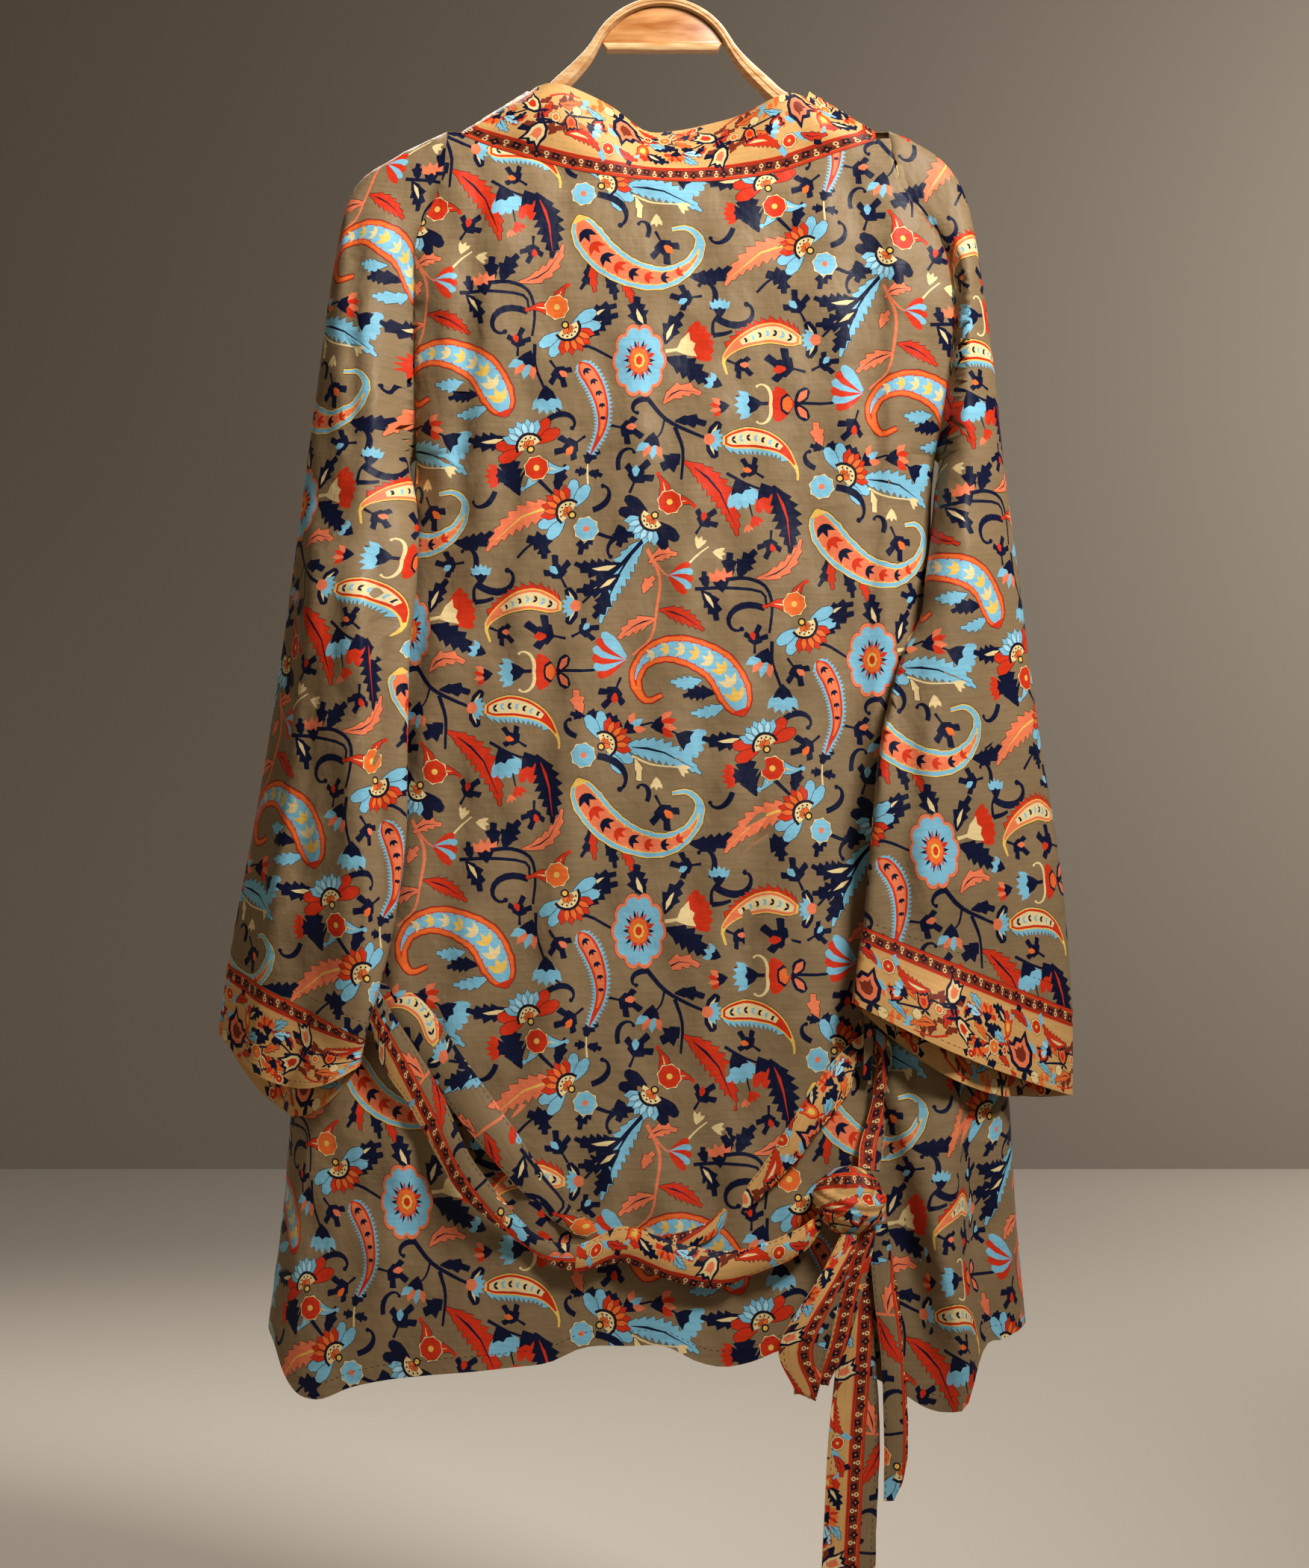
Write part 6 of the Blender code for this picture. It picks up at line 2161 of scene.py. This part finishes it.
def rail_section(face, depth):
    """Outline of the rail across its length, rounded, with a groove in each face."""
    bevel = 0.28
    u, v = 0.5 * face, 0.5 * depth
    near = [(u - 1.0, v), (u - 0.38 * face, v), (u - 0.40 * face, v - 0.5), (u - 0.45 * face, v - 0.5),
            (u - 0.47 * face, v), (-u + bevel * face, v)]
    side = [(-u + 0.3, v - bevel * depth), (-u, v - bevel * depth - 0.4)]
    top = [(u, v - 1.0), (u - 0.3, v - 0.3)]
    half = top + near + side
    return half + [(x, -y) for x, y in half[::-1]]


def build_rail():
    """The bent rail with its arch."""
    path = rail_path(5)
    rings = []
    for (x, z, face, depth), (out_x, out_z) in zip(path, left_of(path[:, :2])):
        rings.append([(x + out_x * u, v, z + out_z * u) for u, v in rail_section(face, depth)])
    tube("hanger_rail", rings, "pale_wood")


def build_panel():
    """The half-round panel in the arch, and the bar under it."""
    inner = ARCH_RADIUS - ARCH_FACE / 2 - 0.35
    reach = math.acos((PANEL_FOOT - ARCH_CENTRE) / inner)
    turns = np.linspace(-reach, reach, 73)
    outline = np.array([(inner * math.sin(t), ARCH_CENTRE + inner * math.cos(t)) for t in turns])
    inward = unit(np.array(PANEL_MIDDLE) - outline)
    plate = [[(x, y, z) for x, z in outline + inward * inset] for y, inset in PANEL_LAYERS]
    tube("hanger_panel", plate, "veneer")
    foot = inner * math.sin(reach) - 0.6
    bar = []
    for y, inset in BAR_LAYERS:
        top, low = PANEL_FOOT - 0.3 - inset, PANEL_FOOT - BAR_HEIGHT + inset
        bar.append([(foot - inset, y, top), (foot - 3 - inset, y, low),
                    (-foot + 3 + inset, y, low), (-foot + inset, y, top)])
    tube("hanger_bar", bar, "pale_wood")


def build_hook():
    """The wire hook, with a rounded tip."""
    line = smooth_line(np.column_stack([HOOK["x"], HOOK["height"]]), HOOK_STEPS)
    turn = np.linspace(0, 2 * math.pi, 20, endpoint=False)
    sizes = np.concatenate([np.ones(HOOK_STEPS - len(HOOK_TIP)), HOOK_TIP])
    rings = []
    for (x, z), side, size in zip(line, left_of(line), sizes):
        side = side * HOOK_WIRE / 2 * size
        rings.append([(x + side[0] * math.cos(t), HOOK_WIRE / 2 * size * math.sin(t),
                       z + side[1] * math.cos(t)) for t in turn])
    tube("hanger_hook", rings, "metal")


class Nodes:
    """A material's nodes, made and linked in short calls."""

    def __init__(self, name):
        """A new material of this name."""
        self.material = bpy.data.materials.new(name)
        self.material.use_nodes = True
        self.tree = self.material.node_tree
        self.shader = self.tree.nodes["Principled BSDF"]

    def add(self, kind, **values):
        """A new node with some of its settings."""
        node = self.tree.nodes.new("ShaderNode" + kind)
        for name, value in values.items():
            setattr(node, name, value)
        return node

    def set(self, node, **values):
        """Gives a node's inputs their values; an underscore in a name is a space."""
        for name, value in values.items():
            node.inputs[name.replace("_", " ")].default_value = value

    def join(self, source, node, name):
        """Links an output to a node's input."""
        self.tree.links.new(source, node.inputs[name])

    def value(self, operation, first, second):
        """A math node of a node's output and a second output or number."""
        node = self.add("Math", operation=operation)
        self.join(first, node, 0)
        if isinstance(second, float):
            node.inputs[1].default_value = second
        else:
            self.join(second, node, 1)
        return node.outputs[0]

    def noise(self, vector, scale, detail=3.0, stretch=(1, 1, 1)):
        """Noise of a stretched vector."""
        mapping = self.add("Mapping")
        self.set(mapping, Scale=stretch)
        self.join(vector, mapping, "Vector")
        node = self.add("TexNoise")
        self.set(node, Scale=scale, Detail=detail)
        self.join(mapping.outputs[0], node, "Vector")
        return node.outputs["Fac"]

    def spread(self, source, low, high, start=0.3, stop=0.7):
        """A value carried from one range to another."""
        node = self.add("MapRange")
        self.set(node, From_Min=start, From_Max=stop, To_Min=low, To_Max=high)
        self.join(source, node, "Value")
        return node.outputs[0]

    def bump(self, height, strength, distance, before=None):
        """A bump from a height, on top of an earlier one."""
        node = self.add("Bump")
        self.set(node, Strength=strength, Distance=distance)
        self.join(height, node, "Height")
        if before is not None:
            self.join(before, node, "Normal")
        return node.outputs[0]


def cloth_material(name, gloss, ripple_height):
    """Printed satin: the print's colour with slubs, weave, soft wrinkles and uneven gloss."""
    n = Nodes(name)
    flat = n.add("UVMap", uv_map="cloth").outputs[0]
    colour = n.add("Attribute", attribute_name="print").outputs["Color"]
    slub = n.noise(flat, 9.0, 4.0, (0.35, 6.0, 1))
    moire = n.noise(flat, 1.6, 2.0, (1.0, 1.6, 1))
    grain = n.noise(flat, 120.0, 2.0)
    shade = n.value("MULTIPLY", n.spread(slub, 0.90, 1.08), n.spread(moire, 0.93, 1.07))
    shade = n.value("MULTIPLY", shade, n.spread(grain, 0.93, 1.07))
    mix = n.add("Mix", data_type="RGBA", blend_type="MULTIPLY")
    mix.inputs[0].default_value = 1.0
    n.join(colour, mix, "A")
    n.join(shade, mix, "B")
    n.join(mix.outputs["Result"], n.shader, "Base Color")
    rough = n.value("ADD", n.spread(slub, gloss - 0.06, gloss + 0.08), n.spread(grain, -0.03, 0.03))
    n.join(rough, n.shader, "Roughness")
    soft = n.noise(flat, 3.2, 3.0, (1.0, 0.55, 1))
    fine = n.noise(flat, 11.0, 3.0, (1.0, 0.8, 1))
    weave = n.noise(flat, 260.0, 1.0, (0.6, 1.6, 1))
    normal = n.bump(soft, 0.55, ripple_height)
    normal = n.bump(fine, 0.35, ripple_height * 0.35, normal)
    normal = n.bump(weave, 0.25, 0.0003, normal)
    n.join(normal, n.shader, "Normal")
    n.set(n.shader, Specular_IOR_Level=0.16, Sheen_Weight=0.02, Sheen_Roughness=0.35)
    return n.material


def wood_material(name, dark, light, scale, gloss):
    """Lacquered wood with grain along it and a few darker streaks."""
    n = Nodes(name)
    place = n.add("TexCoord").outputs["Object"]
    streaks = n.noise(place, scale, 5.0, (1.0, 3.0, 6.0))
    rings = n.noise(place, scale * 0.35, 3.0, (1.0, 2.0, 7.0))
    mix = n.add("Mix", data_type="RGBA")
    share = n.value("ADD", n.value("MULTIPLY", streaks, 0.6), n.value("MULTIPLY", rings, 0.4))
    n.join(n.spread(share, 0.0, 1.0, 0.36, 0.64), mix, 0)
    n.set(mix, A=(*linear(dark), 1), B=(*linear(light), 1))
    n.join(mix.outputs["Result"], n.shader, "Base Color")
    n.join(n.spread(streaks, gloss - 0.07, gloss + 0.1), n.shader, "Roughness")
    n.join(n.bump(streaks, 0.25, 0.0004), n.shader, "Normal")
    n.set(n.shader, Coat_Weight=0.25, Coat_Roughness=0.25)
    return n.material


def metal_material():
    """Bright wire, drawn and a little worn."""
    n = Nodes("metal")
    place = n.add("TexCoord").outputs["Object"]
    wear = n.noise(place, 160.0, 4.0)
    n.set(n.shader, Base_Color=(*linear("#c9c6bd"), 1), Metallic=1.0)
    n.join(n.spread(wear, 0.18, 0.36), n.shader, "Roughness")
    n.join(n.bump(wear, 0.15, 0.0002), n.shader, "Normal")
    return n.material


def plain_material(name, code):
    """A plain matt surface for the room."""
    n = Nodes(name)
    n.set(n.shader, Base_Color=(*linear(code), 1), Roughness=0.9)
    return n.material


MATERIALS = {
    "silk": cloth_material("silk", 0.46, 0.005),
    "border": cloth_material("border", 0.48, 0.003),
    "sash": cloth_material("sash", 0.48, 0.003),
    "pale_wood": wood_material("pale_wood", "#c98f55", "#e9c592", 60.0, 0.38),
    "veneer": wood_material("veneer", "#a8632c", "#dca062", 34.0, 0.34),
    "metal": metal_material(),
}

# The room, in metres, and the camera, in millimetres
STAGE = [  # name, colour, corners
    ("floor", "#c9c0b4", [(-4, -4, -1.36), (4, -4, -1.36), (4, 4, -1.36), (-4, 4, -1.36)]),
    ("backdrop", "#958b80", [(-4, -4, -1.36), (4, -4, -1.36), (4, -4, 2.4), (-4, -4, 2.4)]),
]
LIGHTS = [  # name, place, aimed at, width, spread in degrees, power, colour
    ("key", (-1.1, 1.3, 1.15), (0, 0, -0.20), 0.6, 62, 11.5, (1.0, 0.97, 0.92)),
    ("fill", (1.9, 2.2, 0.5), (0, 0, -0.5), 1.8, 180, 5, (1.0, 0.84, 0.66)),
    ("front", (0.7, -2.2, 1.5), (0, 0, -0.5), 1.2, 120, 26, (1.0, 0.96, 0.90)),
    ("wall", (-2.3, -2.3, 0.5), (-1.5, -4.0, -0.8), 1.2, 180, 50, (1.0, 0.97, 0.92)),
]
GLOW = (1.0, 0.80, 0.58, 1)
GLOW_STRENGTH = 0.085
SENSOR = 24.0
VIEW_FROM = 2600       # distance from the camera to the hanger
VIEW_HEIGHT = 1155     # what the photograph's height shows there
VIEW_MIDDLE = (5.8, -640)


def link(item):
    """Puts an object in the scene."""
    bpy.context.scene.collection.objects.link(item)
    return item


def build_stage():
    """Pale floor and backdrop."""
    for name, code, points in STAGE:
        mesh = bpy.data.meshes.new(name)
        mesh.from_pydata(points, [], [(0, 1, 2, 3)])
        mesh.materials.append(plain_material(name, code))
        link(bpy.data.objects.new(name, mesh))


def build_lights():
    """Soft square lights and a faint warm glow all round."""
    for name, place, aim, width, spread, power, colour in LIGHTS:
        light = bpy.data.lights.new(name, "AREA")
        light.shape = "SQUARE"
        light.size = width
        light.spread = math.radians(spread)
        light.energy = power
        light.color = colour
        lamp = link(bpy.data.objects.new(name, light))
        lamp.location = place
        lamp.rotation_euler = (Vector(aim) - Vector(place)).to_track_quat("-Z", "Y").to_euler()
    bpy.context.scene.view_settings.view_transform = "Standard"
    world = bpy.data.worlds.new("room")
    world.use_nodes = True
    glow = world.node_tree.nodes["Background"]
    glow.inputs[0].default_value = GLOW
    glow.inputs[1].default_value = GLOW_STRENGTH
    bpy.context.scene.world = world


def build_camera():
    """The camera, level behind the robe."""
    lens = bpy.data.cameras.new("camera")
    lens.sensor_fit = "VERTICAL"
    lens.sensor_height = SENSOR
    lens.lens = SENSOR * VIEW_FROM / VIEW_HEIGHT
    camera = link(bpy.data.objects.new("camera", lens))
    camera.location = (VIEW_MIDDLE[0] * MM, VIEW_FROM * MM, VIEW_MIDDLE[1] * MM)
    camera.rotation_euler = (math.radians(90), 0, math.radians(180))
    bpy.context.scene.camera = camera


def main():
    build_stage()
    build_lights()
    build_camera()
    pieces = {**build_robe(), **build_sash(), "sash_knot": build_knot(), **build_belt_loops()}
    build_rail()
    build_panel()
    build_hook()


main()
